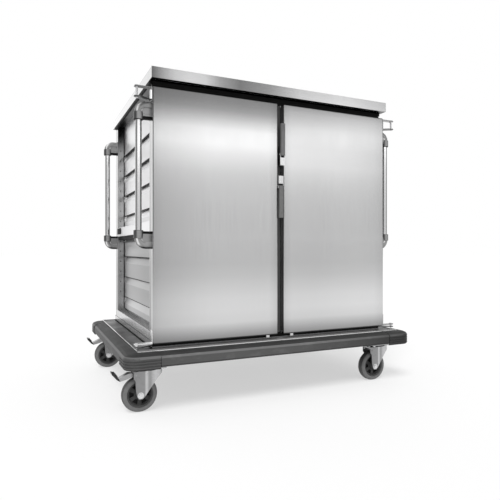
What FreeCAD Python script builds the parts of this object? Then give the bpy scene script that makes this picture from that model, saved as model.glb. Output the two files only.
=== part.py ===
"""Food service trolley: a two-door steel cabinet for trays on a bumpered deck with four castors.

Frame: millimetres, +Z up, +X to the right along the door front, +Y from the doors to the back.
The origin is on the floor, below the middle of the deck.
"""
import FreeCAD, Part
import math
import os
import types

import Sketcher

os.makedirs("parts", exist_ok=True)
doc = FreeCAD.newDocument("FoodServiceTrolley")

# Driving dimensions. Every height is measured from the floor, and every half size from the middle.
SIZES = {
    # cabinet
    "sheet": 1.0,
    "body_half_width": 645.0,
    "body_half_depth": 474.0,
    "wall_plane": 605.0,
    "post_width": 48.0,
    "partition_plane": 58.0,
    "rear_wall_depth": 23.0,
    "body_base": 314.0,
    "sill_face_top": 354.0,
    "sill_top": 371.0,
    "front_sill_top": 345.0,
    "header_base": 1440.0,
    "rail_depth": 34.0,
    "floor_height": 340.0,
    # tray runners pressed into the walls
    "tier_count": 8.0,
    "tier_pitch": 125.0,
    "tier_lowest": 443.0,
    "runner_reach": 16.0,
    "runner_lip": 4.0,
    "runner_drop": 44.0,
    # roof
    "roof_half_width": 658.0,
    "roof_half_depth": 525.0,
    "roof_base": 1500.0,
    "roof_top": 1550.0,
    "roof_edge": 3.0,
    "roof_sink": 8.0,
    "roof_return": 22.0,
    # side bar and its buffer
    "bar_base": 812.0,
    "bar_face_top": 866.0,
    "bar_top": 877.0,
    "buffer_thick": 5.0,
    "buffer_front": 322.0,
    "buffer_back": 418.0,
    "buffer_base": 826.0,
    "buffer_top": 862.0,
    # base frame, deck and chassis
    "base_rear": 522.0,
    "deck_top": 282.0,
    "deck_half_width": 719.0,
    "deck_half_depth": 535.0,
    "deck_skirt": 58.0,
    "trim_width": 4.0,
    "trim_base": 272.0,
    "trim_top": 285.0,
    "chassis_base": 200.0,
    "chassis_width": 70.0,
    "chassis_wall": 2.0,
    "chassis_end": 712.0,
    # bumper
    "rail_outer_x": 783.0,
    "rail_outer_y": 588.0,
    "rail_base": 218.0,
    "rail_shoulder": 266.0,
    "bumper_wall": 5.0,
    "corner_proud": 3.0,
    "corner_base": 211.0,
    "corner_radius": 62.0,
    "corner_reach": 151.0,
    "corner_rib": 2.5,
    "corner_rib_count": 4.0,
    # hand rails
    "tube_radius": 15.0,
    "tube_wall": 1.5,
    "grip_x": 703.0,
    "grip_y": 458.0,
    "grip_base": 735.0,
    "grip_top": 1405.0,
    "elbow_radius": 19.0,
    "elbow_bend": 34.0,
    "elbow_length": 84.0,
    "elbow_web": 68.0,
    "web_half": 13.0,
    "collar_radius": 21.0,
    "collar_length": 13.0,
    "flange_thick": 4.0,
    # doors
    "door_edge": 650.0,
    "door_gap": 16.5,
    "door_front": 514.0,
    "door_back": 482.0,
    "door_base": 306.0,
    "door_top": 1467.0,
    "seal_width": 12.0,
    "seal_inner_x": 26.0,
    "seal_outer_x": 624.0,
    "seal_base": 322.0,
    "seal_top": 1458.0,
    "seal_gap": 0.4,
    # hinges
    "pin_x": 718.0,
    "pin_y": 496.0,
    "pin_radius": 5.0,
    "pin_head": 8.0,
    "arm_thick": 5.0,
    "arm_half_width": 13.0,
    "arm_flange": 62.0,
    "upper_bracket": 1412.0,
    "upper_arm": 1457.0,
    "lower_bracket": 294.0,
    "lower_arm": 308.0,
    "running_gap": 0.3,
    "fit_gap": 0.05,
    # door latches
    "latch_far_x": 9.0,
    "latch_front": 524.0,
    "latch_back": 490.0,
    "latch_base": 1155.0,
    "latch_block": 39.0,
    "cheek_thick": 2.5,
    "cheek_length": 69.0,
    "lever_width": 21.5,
    "lever_length": 154.0,
    "lever_thick": 12.0,
    "lever_front": 530.0,
    "pivot_y": 517.0,
    "pivot_rise": 56.0,
    "pivot_radius": 3.0,
    "barrel_radius": 7.0,
    "latch_mirror": 1128.5,
    "striker_half": 8.0,
    "striker_depth": 11.0,
    "striker_thick": 6.0,
    "rest_x": 68.0,
    "rest_half": 9.0,
    "rest_base": 293.0,
    "rest_top": 305.5,
    "rest_depth": 30.0,
    # castors
    "castor_x": 653.0,
    "castor_y": 462.0,
    "wheel_radius": 80.0,
    "wheel_width": 45.0,
    "trail": 47.0,
    "rim_radius": 57.0,
    "rim_inner": 49.0,
    "rim_width": 36.0,
    "web_width": 14.0,
    "boss_radius": 21.0,
    "boss_width": 62.0,
    "axle_radius": 6.0,
    "window_count": 6.0,
    "window_floor": 3.0,
    "fork_width": 72.0,
    "fork_front": 58.0,
    "fork_closing": 10.0,
    "fork_fold": 27.0,
    "fork_sheet": 3.0,
    "fork_top": 187.0,
    "fork_crown": 7.0,
    "race_radius": 34.0,
    "king_pin_radius": 8.0,
    "king_pin_head": 15.0,
    "plate_half_x": 68.0,
    "plate_half_y": 45.0,
    "plate_thick": 5.0,
    "bolt_x": 52.0,
    "bolt_y": 33.0,
    "bolt_radius": 4.0,
    "bolt_head": 6.5,
    "bolt_head_thick": 5.5,
    "axle_nut": 10.0,
    "axle_nut_thick": 7.0,
    "pedal_width": 34.0,
    "pedal_sheet": 3.0,
    "pedal_pivot_x": 68.0,
    "pedal_pivot_height": 171.0,
    "pedal_pin": 3.0,
    "toe_width": 46.0,
}


class Length:
    """A size together with the spreadsheet formula that gives it."""

    def __init__(self, value, formula=None):
        self.value = float(value)
        self.formula = formula or repr(self.value)

    def __add__(self, other):
        other = as_length(other)
        return Length(self.value + other.value, f"({self.formula} + {other.formula})")

    def __sub__(self, other):
        other = as_length(other)
        return Length(self.value - other.value, f"({self.formula} - {other.formula})")

    def __mul__(self, other):
        other = as_length(other)
        return Length(self.value * other.value, f"({self.formula} * {other.formula})")

    def __truediv__(self, other):
        other = as_length(other)
        return Length(self.value / other.value, f"({self.formula} / {other.formula})")

    def __rsub__(self, other):
        return as_length(other) - self

    def __neg__(self):
        return Length(-self.value, f"(0 - {self.formula})")

    def __float__(self):
        return self.value

    __radd__ = __add__
    __rmul__ = __mul__


def as_length(value):
    return value if isinstance(value, Length) else Length(value)


def make_sheet():
    sheet = doc.addObject("Spreadsheet::Sheet", "Sizes")
    for row, (alias, value) in enumerate(SIZES.items(), start=1):
        sheet.set(f"A{row}", alias)
        sheet.set(f"B{row}", str(value))
        sheet.setAlias(f"B{row}", alias)
    doc.recompute()
    return types.SimpleNamespace(
        **{alias: Length(sheet.get(alias), f"Sizes.{alias}") for alias in SIZES}
    )


S = make_sheet()
AXES = ("x", "y", "z")
NORMALS = {"XY_Plane": 2, "XZ_Plane": 1, "YZ_Plane": 0}
SIDES = {"left": -1, "right": 1}
ENDS = {"front": -1, "rear": 1}
PARTS = []


# ---- building blocks -------------------------------------------------------------------------

def bind(obj, prop, length):
    obj.setExpression(prop, as_length(length).formula)


def place(obj, point):
    for axis, length in zip(AXES, point):
        bind(obj, f"Placement.Base.{axis}", length)
    return obj


def box(name, low, high):
    """A block between two opposite corners."""
    obj = doc.addObject("Part::Box", name)
    for prop, start, end in zip(("Length", "Width", "Height"), low, high):
        bind(obj, prop, as_length(end) - start)
    return place(obj, low)


def cylinder(name, start, radius, length, axis=2):
    """A cylinder from its start point along the X, Y or Z axis."""
    obj = doc.addObject("Part::Cylinder", name)
    bind(obj, "Radius", radius)
    bind(obj, "Height", length)
    turns = {0: ((0, 1, 0), 90), 1: ((1, 0, 0), -90), 2: ((0, 0, 1), 0)}
    direction, angle = turns[axis]
    obj.Placement.Rotation = FreeCAD.Rotation(FreeCAD.Vector(*direction), angle)
    return place(obj, start)


def cut(name, base, *tools):
    """The base without its tools."""
    obj = doc.addObject("Part::Cut", name)
    obj.Base = base
    obj.Tool = tools[0] if len(tools) == 1 else fuse(name + "Tools", *tools)
    return obj


def fuse(name, *pieces):
    obj = doc.addObject("Part::MultiFuse", name)
    obj.Shapes = list(pieces)
    obj.Refine = True
    return obj


def common(name, *pieces):
    obj = doc.addObject("Part::MultiCommon", name)
    obj.Shapes = list(pieces)
    return obj


def group(name, *pieces):
    """Separate solids that share one name."""
    obj = doc.addObject("Part::Compound", name)
    obj.Links = list(pieces)
    return obj


def mirror(name, source, axis, middle=0.0):
    """The source's mirror image across the plane square to the axis."""
    obj = doc.addObject("Part::Mirroring", name)
    obj.Source = source
    obj.Normal = FreeCAD.Vector(*(1.0 if index == axis else 0.0 for index in range(3)))
    bind(obj, f"Base.{AXES[axis]}", middle)
    return obj


def moved(name, source, point):
    """A copy of the source, shifted by the point."""
    obj = doc.addObject("Part::Compound", name)
    obj.Links = [source]
    return place(obj, point)


def sketch(body, plane, points):
    """A closed outline of straight lines, every corner tied to the sheet."""
    outline = body.newObject("Sketcher::SketchObject", body.Name + "Outline")
    support = next(item for item in body.Origin.OriginFeatures if item.Role == plane)
    outline.AttachmentSupport = [(support, "")]
    outline.MapMode = "FlatFace"
    corners = [FreeCAD.Vector(float(across), float(up), 0) for across, up in points]
    for start, end in zip(corners, corners[1:] + corners[:1]):
        outline.addGeometry(Part.LineSegment(start, end))
    for index in range(len(points)):
        following = (index + 1) % len(points)
        outline.addConstraint(Sketcher.Constraint("Coincident", index, 2, following, 1))
    for index, corner in enumerate(points):
        for kind, length in zip(("DistanceX", "DistanceY"), corner):
            number = outline.addConstraint(Sketcher.Constraint(kind, -1, 1, index, 1, float(length)))
            bind(outline, f"Constraints[{number}]", length)
    return outline


def prism(name, plane, points, low, high):
    """An outline padded from low to high along its plane's normal."""
    body = doc.addObject("PartDesign::Body", name)
    pad = body.newObject("PartDesign::Pad", name + "Pad")
    pad.Profile = sketch(body, plane, points)
    bind(pad, "Length", as_length(high) - low)
    base = high if plane == "XZ_Plane" else low
    bind(body, f"Placement.Base.{AXES[NORMALS[plane]]}", base)
    body.Tip = pad
    return body


def turned(name, plane, points, angle=360.0):
    """An outline of (radius, distance along the axis) revolved about the plane's upright axis."""
    body = doc.addObject("PartDesign::Body", name)
    outline = sketch(body, plane, points)
    revolution = body.newObject("PartDesign::Revolution", name + "Turn")
    revolution.Profile = outline
    revolution.ReferenceAxis = (outline, ["V_Axis"])
    revolution.Angle = angle
    body.Tip = revolution
    return body


def finish(name, obj):
    """Names a finished sub-part, which is written to its own file."""
    obj.Label = name
    PARTS.append(obj)
    return obj


def both_sides(name, source):
    """The source and its mirror image on the other side of the trolley."""
    return group(name, source, mirror(name + "Mirror", source, 0))


def all_corners(name, source):
    """The source at all four corners of the trolley."""
    pair = both_sides(name + "Pair", source)
    return group(name, pair, mirror(name + "Far", pair, 1))


# ---- cabinet ---------------------------------------------------------------------------------

def runner_outline(ledge):
    """A tray runner seen from the front: a ledge with a lip, sloping back to the wall below."""
    outer, inner, tip = S.wall_plane, S.wall_plane - S.sheet, S.wall_plane - S.runner_reach
    return [
        (outer, ledge),
        (inner, ledge),
        (tip, ledge),
        (tip, ledge - S.runner_lip),
        (inner, ledge - S.runner_drop),
        (outer, ledge - S.runner_drop),
        (tip + S.sheet, ledge - S.runner_lip),
        (tip + S.sheet, ledge - S.sheet),
        (outer, ledge - S.sheet),
    ]


def runner_wall(name, front, back):
    """Strips of sheet with a runner between them for every tray tier."""
    inner, outer = S.wall_plane - S.sheet, S.wall_plane
    strip_base = S.floor_height
    pieces = []
    for tier in range(int(float(S.tier_count))):
        ledge = S.tier_lowest + S.tier_pitch * tier
        strip_top = ledge - S.runner_drop
        pieces.append(box(f"{name}Strip{tier}", (inner, front, strip_base), (outer, back, strip_top)))
        pieces.append(prism(f"{name}Runner{tier}", "XZ_Plane", runner_outline(ledge), front, back))
        strip_base = ledge
    wall_top = S.roof_base - S.sheet
    pieces.append(box(name + "StripTop", (inner, front, strip_base), (outer, back, wall_top)))
    return group(name, *pieces)


def make_walls():
    right = runner_wall("RightWall", -S.body_half_depth, S.body_half_depth)
    finish("side_wall_right", right)
    finish("side_wall_left", mirror("LeftWall", right, 0))
    bay_middle = (S.partition_plane + S.wall_plane) / 2
    inner = runner_wall("PartitionBlank", S.rail_depth - S.body_half_depth, S.body_half_depth)
    partition = mirror("RightPartition", inner, 0, bay_middle)
    finish("partition_right", partition)
    finish("partition_left", mirror("LeftPartition", partition, 0))


def hollow_bar(name, low, high, wall, axis):
    """A square tube along one axis."""
    inner_low = [end if index == axis else end + wall for index, end in enumerate(low)]
    inner_high = [end if index == axis else end - wall for index, end in enumerate(high)]
    return cut(name, box(name + "Outer", low, high), box(name + "Inner", inner_low, inner_high))


def make_posts():
    post = hollow_bar(
        "CornerPost",
        (S.wall_plane, S.body_half_depth - S.post_width, S.sill_face_top),
        (S.body_half_width, S.body_half_depth, S.roof_base - S.sheet),
        S.sheet,
        2,
    )
    finish("corner_posts", all_corners("CornerPosts", post))
    centre = hollow_bar(
        "CentrePost",
        (-S.partition_plane, -S.body_half_depth, S.front_sill_top),
        (S.partition_plane, S.rail_depth - S.body_half_depth, S.header_base),
        S.sheet,
        2,
    )
    finish("centre_post", centre)


def make_front_rails():
    front = -S.body_half_depth
    header = hollow_bar(
        "Header",
        (-S.wall_plane + S.sheet, front, S.header_base),
        (S.wall_plane - S.sheet, front + S.rail_depth, S.roof_base - S.sheet),
        S.sheet,
        0,
    )
    sill = hollow_bar(
        "Sill",
        (-S.wall_plane, front, S.body_base),
        (S.wall_plane, front + S.rail_depth, S.front_sill_top - S.running_gap),
        S.sheet,
        0,
    )
    lower = cut(
        "SillTrimmed",
        sill,
        *[
            box(
                f"SillNotch{side}",
                (S.wall_plane * sign - S.sheet * (1 + sign) / 2, front - 1, S.floor_height),
                (S.wall_plane * sign + S.sheet * (1 - sign) / 2, front + S.rail_depth + 1, S.sill_top),
            )
            for side, sign in SIDES.items()
        ],
    )
    finish("front_rails", group("FrontRails", header, lower))


def make_side_sills():
    face, plane, sheet = S.body_half_width, S.wall_plane, S.sheet
    outline = [
        (face, S.body_base),
        (face, S.sill_face_top),
        (plane, S.sill_top),
        (plane, S.sill_top - sheet * 2),
        (face - sheet, S.sill_face_top - sheet),
        (face - sheet, S.body_base + sheet),
        (plane, S.body_base + sheet),
        (plane, S.body_base),
    ]
    inner_depth = S.body_half_depth - S.post_width
    low = prism("SideSillMiddle", "XZ_Plane", outline, -inner_depth, inner_depth)
    foot = hollow_bar(
        "PostFoot",
        (plane, inner_depth, S.body_base),
        (face, S.body_half_depth, S.sill_face_top),
        sheet,
        1,
    )
    front_foot = mirror("FrontPostFoot", foot, 1)
    finish("side_sills", both_sides("SideSills", fuse("RightSideSill", low, foot, front_foot)))


def make_ceiling_floor_and_rear():
    front, back = -S.body_half_depth, S.body_half_depth
    ceiling = box(
        "Ceiling",
        (-S.body_half_width, front, S.roof_base - S.sheet),
        (S.body_half_width, back, S.roof_base),
    )
    finish("ceiling_panel", ceiling)
    inside = S.wall_plane - S.sheet
    floor = box(
        "Floor",
        (-inside, front + S.rail_depth, S.floor_height - S.sheet),
        (inside, back, S.floor_height),
    )
    finish("floor_panel", floor)
    pan = cut(
        "RearWall",
        box(
            "RearWallBlock",
            (-S.body_half_width, back, S.body_base),
            (S.body_half_width, back + S.rear_wall_depth, S.roof_base),
        ),
        box(
            "RearWallHollow",
            (S.sheet - S.body_half_width, back - 1, S.body_base + S.sheet),
            (S.body_half_width - S.sheet, back + S.rear_wall_depth - S.sheet, S.roof_base - S.sheet),
        ),
    )
    finish("rear_wall", pan)


def frame_ring(name, half_x, half_y, width, low, high):
    """A flat rectangular ring, the width measured inwards."""
    outer = box(name + "Outer", (-half_x, -half_y, low), (half_x, half_y, high))
    inner_x, inner_y = half_x - width, half_y - width
    inner = box(
        name + "Inner",
        (-inner_x, -inner_y, as_length(low) - 1),
        (inner_x, inner_y, as_length(high) + 1),
    )
    return cut(name, outer, inner)


def make_roof():
    half_x, half_y = S.roof_half_width, S.roof_half_depth
    rim = frame_ring("RoofRim", half_x, half_y, S.roof_edge, S.roof_base, S.roof_top)
    fold = frame_ring("RoofFold", half_x, half_y, S.roof_return, S.roof_base, S.roof_base + S.sheet)
    surface = S.roof_top - S.roof_sink
    top = box("RoofTop", (-half_x, -half_y, surface - S.sheet), (half_x, half_y, surface))
    finish("roof_panel", fuse("Roof", rim, fold, top))


def make_side_bars():
    face, plane, sheet = S.body_half_width, S.wall_plane, S.sheet
    outline = [
        (plane, S.bar_top),
        (face, S.bar_face_top),
        (face, S.bar_base),
        (face - sheet, S.bar_base),
        (face - sheet, S.bar_face_top - sheet),
        (plane, S.bar_top - sheet),
    ]
    inner_depth = S.body_half_depth - S.post_width
    bar = prism("RightSideBar", "XZ_Plane", outline, -inner_depth, inner_depth)
    finish("side_bars", both_sides("SideBars", bar))
    buffer = box(
        "RightBuffer",
        (face, S.buffer_front, S.buffer_base),
        (face + S.buffer_thick, S.buffer_back, S.buffer_top),
    )
    finish("side_buffers", both_sides("SideBuffers", buffer))


# ---- deck, chassis and bumper ----------------------------------------------------------------

def make_base_frame():
    wide = S.body_half_width - S.wall_plane
    bars = [
        hollow_bar(
            f"BaseBar{side}",
            (S.wall_plane if sign > 0 else -S.body_half_width, -S.body_half_depth, S.deck_top),
            (S.body_half_width if sign > 0 else -S.wall_plane, S.base_rear, S.body_base),
            S.sheet,
            1,
        )
        for side, sign in SIDES.items()
    ]
    bars.append(
        hollow_bar(
            "BaseBarFront",
            (-S.wall_plane, -S.body_half_depth, S.deck_top),
            (S.wall_plane, wide - S.body_half_depth, S.body_base),
            S.sheet,
            0,
        )
    )
    bars.append(
        hollow_bar(
            "BaseBarRear",
            (-S.wall_plane, S.base_rear - wide, S.deck_top),
            (S.wall_plane, S.base_rear, S.body_base),
            S.sheet,
            0,
        )
    )
    finish("base_frame", fuse("BaseFrame", *bars))


def make_deck():
    half_x, half_y = S.deck_half_width, S.deck_half_depth
    plate = box("DeckSheet", (-half_x, -half_y, S.deck_top - S.sheet), (half_x, half_y, S.deck_top))
    skirt = frame_ring("DeckSkirt", half_x, half_y, S.sheet, S.deck_top - S.deck_skirt, S.deck_top)
    finish("deck_plate", fuse("Deck", plate, skirt))
    width = S.trim_width
    strip = frame_ring("Trim", half_x + width, half_y + width, width, S.trim_base, S.trim_top)
    finish("deck_trim", strip)


def make_chassis():
    """Two long members over the castors, joined by three cross members."""
    half, end = S.chassis_width / 2, S.chassis_end
    low, high = S.chassis_base, S.deck_top - S.sheet
    spans = [
        ((-end, middle - half, low), (end, middle + half, high), 0)
        for middle in (-S.castor_y, S.castor_y)
    ]
    inner_end = S.castor_y - half
    spans += [
        ((middle - half, -inner_end, low), (middle + half, inner_end, high), 1)
        for middle in (-S.castor_x, Length(0.0), S.castor_x)
    ]
    members = [
        hollow_bar(f"Chassis{index}", start, stop, S.chassis_wall, axis)
        for index, (start, stop, axis) in enumerate(spans)
    ]
    finish("chassis_frame", fuse("Chassis", *members))


def rail_outline(inner, outer):
    """A bumper rail's section: a hollow moulding, open below, from the trim to its outer face."""
    wall, base, shoulder = S.bumper_wall, S.rail_base, S.rail_shoulder
    top = S.deck_top - 1
    return [
        (inner, top),
        (outer - 20, top - 6),
        (outer - 6, shoulder + 2),
        (outer, shoulder - 8),
        (outer, base + 6),
        (outer - 6, base),
        (outer - 6 - wall, base),
        (outer - wall, base + 8),
        (outer - wall, shoulder - 10),
        (outer - 9, shoulder - 3),
        (outer - 22, top - 6 - wall),
        (inner, top - wall),
    ]


def make_bumper_rails():
    inner_x = S.deck_half_width + S.trim_width
    inner_y = S.deck_half_depth + S.trim_width
    end_x = S.rail_outer_x - S.corner_reach
    end_y = S.rail_outer_y - S.corner_reach
    right = prism("RightRail", "XZ_Plane", rail_outline(inner_x, S.rail_outer_x), -end_y, end_y)
    rear = prism("RearRail", "YZ_Plane", rail_outline(inner_y, S.rail_outer_y), -end_x, end_x)
    pieces = [right, mirror("LeftRail", right, 0), rear, mirror("FrontRail", rear, 1)]
    finish("bumper_rails", group("BumperRails", *pieces))


def corner_outline(inner, outer):
    """A corner moulding's section: like the rail's, deeper, with grooves along its outer face."""
    wall, base, shoulder = S.bumper_wall, S.corner_base, S.rail_shoulder
    top = S.deck_top - 1
    ribs = int(float(S.corner_rib_count))
    pitch = (shoulder - 6 - (base + 6)) / (2 * ribs - 1)
    face = []
    for index in range(ribs):
        rib_top = shoulder - 6 - pitch * (2 * index)
        face += [(outer, rib_top), (outer, rib_top - pitch)]
        if index < ribs - 1:
            groove = outer - S.corner_rib
            face += [(groove, rib_top - pitch - 1), (groove, rib_top - pitch * 2 + 1)]
    return [
        (inner, top),
        (outer - 20, top - 5),
        (outer - 6, shoulder + 4),
        *face,
        (outer - 5, base),
        (outer - 7 - wall, base),
        (outer - 3 - wall, base + 8),
        (outer - 3 - wall, shoulder - 12),
        (outer - 13, shoulder - 4),
        (outer - 24, top - 6 - wall),
        (inner, top - wall),
    ]


def make_bumper_corners():
    outer_x, outer_y = S.rail_outer_x + S.corner_proud, S.rail_outer_y + S.corner_proud
    inner_x = S.deck_half_width + S.trim_width
    inner_y = S.deck_half_depth + S.trim_width
    radius = S.corner_radius
    centre_x, centre_y = outer_x - radius, outer_y - radius
    end_x, end_y = S.rail_outer_x - S.corner_reach, S.rail_outer_y - S.corner_reach
    bend = turned("CornerBend", "XZ_Plane", corner_outline(Length(0.5), radius), 90.0)
    place(bend, (centre_x, centre_y, 0))
    along_y = prism("CornerAlongY", "XZ_Plane", corner_outline(inner_x, outer_x), end_y, centre_y)
    along_x = prism("CornerAlongX", "YZ_Plane", corner_outline(inner_y, outer_y), end_x, centre_x)
    finish("bumper_corners", all_corners("BumperCorners", fuse("BumperCorner", bend, along_y, along_x)))


# ---- hand rails ------------------------------------------------------------------------------

def elbow_path():
    """Out from the post, round the bend and down."""
    out, down = S.grip_x, S.grip_top - S.elbow_radius
    bend, start = S.elbow_bend, S.body_half_width
    points = [
        FreeCAD.Vector(float(start), 0, float(down)),
        FreeCAD.Vector(float(out - bend), 0, float(down)),
        FreeCAD.Vector(float(out), 0, float(down - bend)),
        FreeCAD.Vector(float(out), 0, float(S.grip_top - S.elbow_length)),
    ]
    slant = float(bend) * (1 - math.sqrt(0.5))
    middle = FreeCAD.Vector(float(out) - slant, 0, float(down) - slant)
    edges = [
        Part.LineSegment(points[0], points[1]).toShape(),
        Part.Arc(points[1], middle, points[2]).toShape(),
        Part.LineSegment(points[2], points[3]).toShape(),
    ]
    return Part.Wire(edges)


def make_elbow():
    """A moulded elbow: a pipe round its bend, webbed back to a wall flange and bored for the tube."""
    path = elbow_path()
    start = FreeCAD.Vector(float(S.body_half_width), 0, float(S.grip_top - S.elbow_radius))
    along = FreeCAD.Vector(1, 0, 0)
    section = Part.Wire(Part.makeCircle(float(S.elbow_radius), start, along))
    pipe = path.makePipeShell([section], True, False)
    reach, web = float(S.grip_x - S.body_half_width), float(S.elbow_web)
    half, radius = float(S.web_half), float(S.elbow_radius)
    corner = FreeCAD.Vector(start.x, -half, float(S.grip_top - S.elbow_web))
    gusset = Part.makeBox(reach, half * 2, web - radius, corner)
    pad_start = corner + FreeCAD.Vector(radius / 2, -1.5, radius / 2)
    pad = Part.makeBox(reach - radius, half * 2 + 3, web - radius * 2, pad_start)
    corner.y = -radius
    flange = Part.makeBox(float(S.flange_thick), radius * 2, web, corner)
    collar_start = FreeCAD.Vector(float(S.grip_x), 0, float(S.grip_top - S.elbow_length))
    collar = Part.makeCylinder(float(S.collar_radius), float(S.collar_length), collar_start)
    socket_radius = float(S.tube_radius + S.fit_gap)
    socket_base = float(S.grip_top - S.elbow_length) - 1
    socket_length = float(S.elbow_length - S.elbow_radius - S.elbow_bend)
    centre = FreeCAD.Vector(float(S.grip_x), 0, socket_base)
    socket = Part.makeCylinder(socket_radius, socket_length, centre)
    elbow = doc.addObject("Part::Feature", "Elbow")
    elbow.Shape = pipe.multiFuse([gusset, pad, flange, collar]).cut(socket).removeSplitter()
    return place(elbow, (0, S.grip_y, 0))


def make_hand_rails():
    upper = make_elbow()
    lower = mirror("LowerElbow", upper, 2, (S.grip_base + S.grip_top) / 2)
    finish("handle_elbows", all_corners("HandleElbows", group("ElbowPair", upper, lower)))
    inset = S.elbow_radius + S.elbow_bend + 2
    start = (S.grip_x, S.grip_y, S.grip_base + inset)
    length = S.grip_top - S.grip_base - inset * 2
    outer = cylinder("TubeOuter", start, S.tube_radius, length)
    inner = cylinder("TubeInner", start, S.tube_radius - S.tube_wall, length)
    finish("handle_tubes", all_corners("HandleTubes", cut("Tube", outer, inner)))


# ---- door hinges -----------------------------------------------------------------------------

def bracket(name, height):
    """A plate from the corner post out to the hinge pin, round at the pin."""
    pin_x, pin_y = S.pin_x, -S.pin_y
    half, face = S.arm_half_width, S.body_half_width
    plate = prism(
        name + "Plate",
        "XY_Plane",
        [
            (face, pin_y + 70),
            (face, 1 - S.body_half_depth),
            (pin_x - 20, pin_y - half + 4),
            (pin_x, pin_y - half),
            (pin_x + half, pin_y),
            (pin_x - 2, pin_y + half + 4),
        ],
        height,
        height + S.arm_thick,
    )
    disc = cylinder(name + "Eye", (pin_x, pin_y, height), half, S.arm_thick)
    hole = cylinder(name + "Hole", (pin_x, pin_y, height - 1), S.pin_radius, S.arm_thick + 2)
    return cut(name, fuse(name + "Blank", plate, disc), hole)


def pin(name, bracket_height, arm_height):
    """A pin standing on its bracket, with a collar below the door's arm and a head above it."""
    gap = S.running_gap
    top = arm_height + S.arm_thick + gap
    outline = [
        (Length(0.0), bracket_height - 4),
        (S.pin_radius, bracket_height - 4),
        (S.pin_radius, arm_height - gap - 4),
        (S.pin_head, arm_height - gap - 4),
        (S.pin_head, arm_height - gap),
        (S.pin_radius, arm_height - gap),
        (S.pin_radius, top),
        (S.pin_head, top),
        (S.pin_head, top + 3),
        (Length(0.0), top + 3),
    ]
    return place(turned(name, "XZ_Plane", outline), (S.pin_x, -S.pin_y, 0))


def make_hinge_fixtures():
    brackets = [bracket("UpperBracket", S.upper_bracket), bracket("LowerBracket", S.lower_bracket)]
    finish("hinge_brackets", both_sides("HingeBrackets", group("BracketPair", *brackets)))
    pins = [
        pin("UpperPin", S.upper_bracket, S.upper_arm),
        pin("LowerPin", S.lower_bracket, S.lower_arm),
    ]
    finish("hinge_pins", both_sides("HingePins", group("PinPair", *pins)))


def hinge_arm(name, height, flange_low, flange_high):
    """A flat arm from the pin to the door's edge, with a flange fixed down the edge."""
    half, edge = S.arm_half_width, S.door_edge
    y_low, y_high = -S.pin_y - half, half - S.pin_y
    arm = box(name + "Bar", (edge, y_low, height), (S.pin_x, y_high, height + S.arm_thick))
    eye = cylinder(name + "Eye", (S.pin_x, -S.pin_y, height), half, S.arm_thick)
    hole = cylinder(
        name + "Hole", (S.pin_x, -S.pin_y, height - 1), S.pin_radius + S.fit_gap, S.arm_thick + 2
    )
    flange = box(name + "Flange", (edge, y_low, flange_low), (edge + S.roof_edge, y_high, flange_high))
    return cut(name, fuse(name + "Blank", arm, eye, flange), hole)


# ---- doors -----------------------------------------------------------------------------------

def make_right_door():
    """Skin, inner panel, seal and hinge arms of the right door, as unfinished objects."""
    front, back, sheet = -S.door_front, -S.door_back, S.sheet
    low = (S.door_gap, front, S.door_base)
    high = (S.door_edge, back, S.door_top)
    hollow_low = (S.door_gap + sheet, front + sheet, S.door_base + sheet)
    hollow_high = (S.door_edge - sheet, back + 1, S.door_top - sheet)
    skin = cut("DoorSkin", box("DoorBlock", low, high), box("DoorHollow", hollow_low, hollow_high))
    panel = box(
        "DoorPanel",
        (hollow_low[0], back - sheet, hollow_low[2]),
        (hollow_high[0], back, hollow_high[2]),
    )
    seal_back = -S.body_half_depth - S.seal_gap
    width = S.seal_width
    seal = cut(
        "DoorSeal",
        box("SealOuter", (S.seal_inner_x, back, S.seal_base), (S.seal_outer_x, seal_back, S.seal_top)),
        box(
            "SealInner",
            (S.seal_inner_x + width, back - 1, S.seal_base + width),
            (S.seal_outer_x - width, seal_back + 1, S.seal_top - width),
        ),
    )
    upper_top = S.upper_arm + S.arm_thick
    arms = group(
        "HingeArms",
        hinge_arm("UpperArm", S.upper_arm, upper_top - S.arm_flange, upper_top),
        hinge_arm("LowerArm", S.lower_arm, S.lower_arm, S.lower_arm + S.arm_flange),
    )
    return {"door_skin": skin, "door_panel": panel, "door_seal": seal, "hinge_arms": arms}


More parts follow.
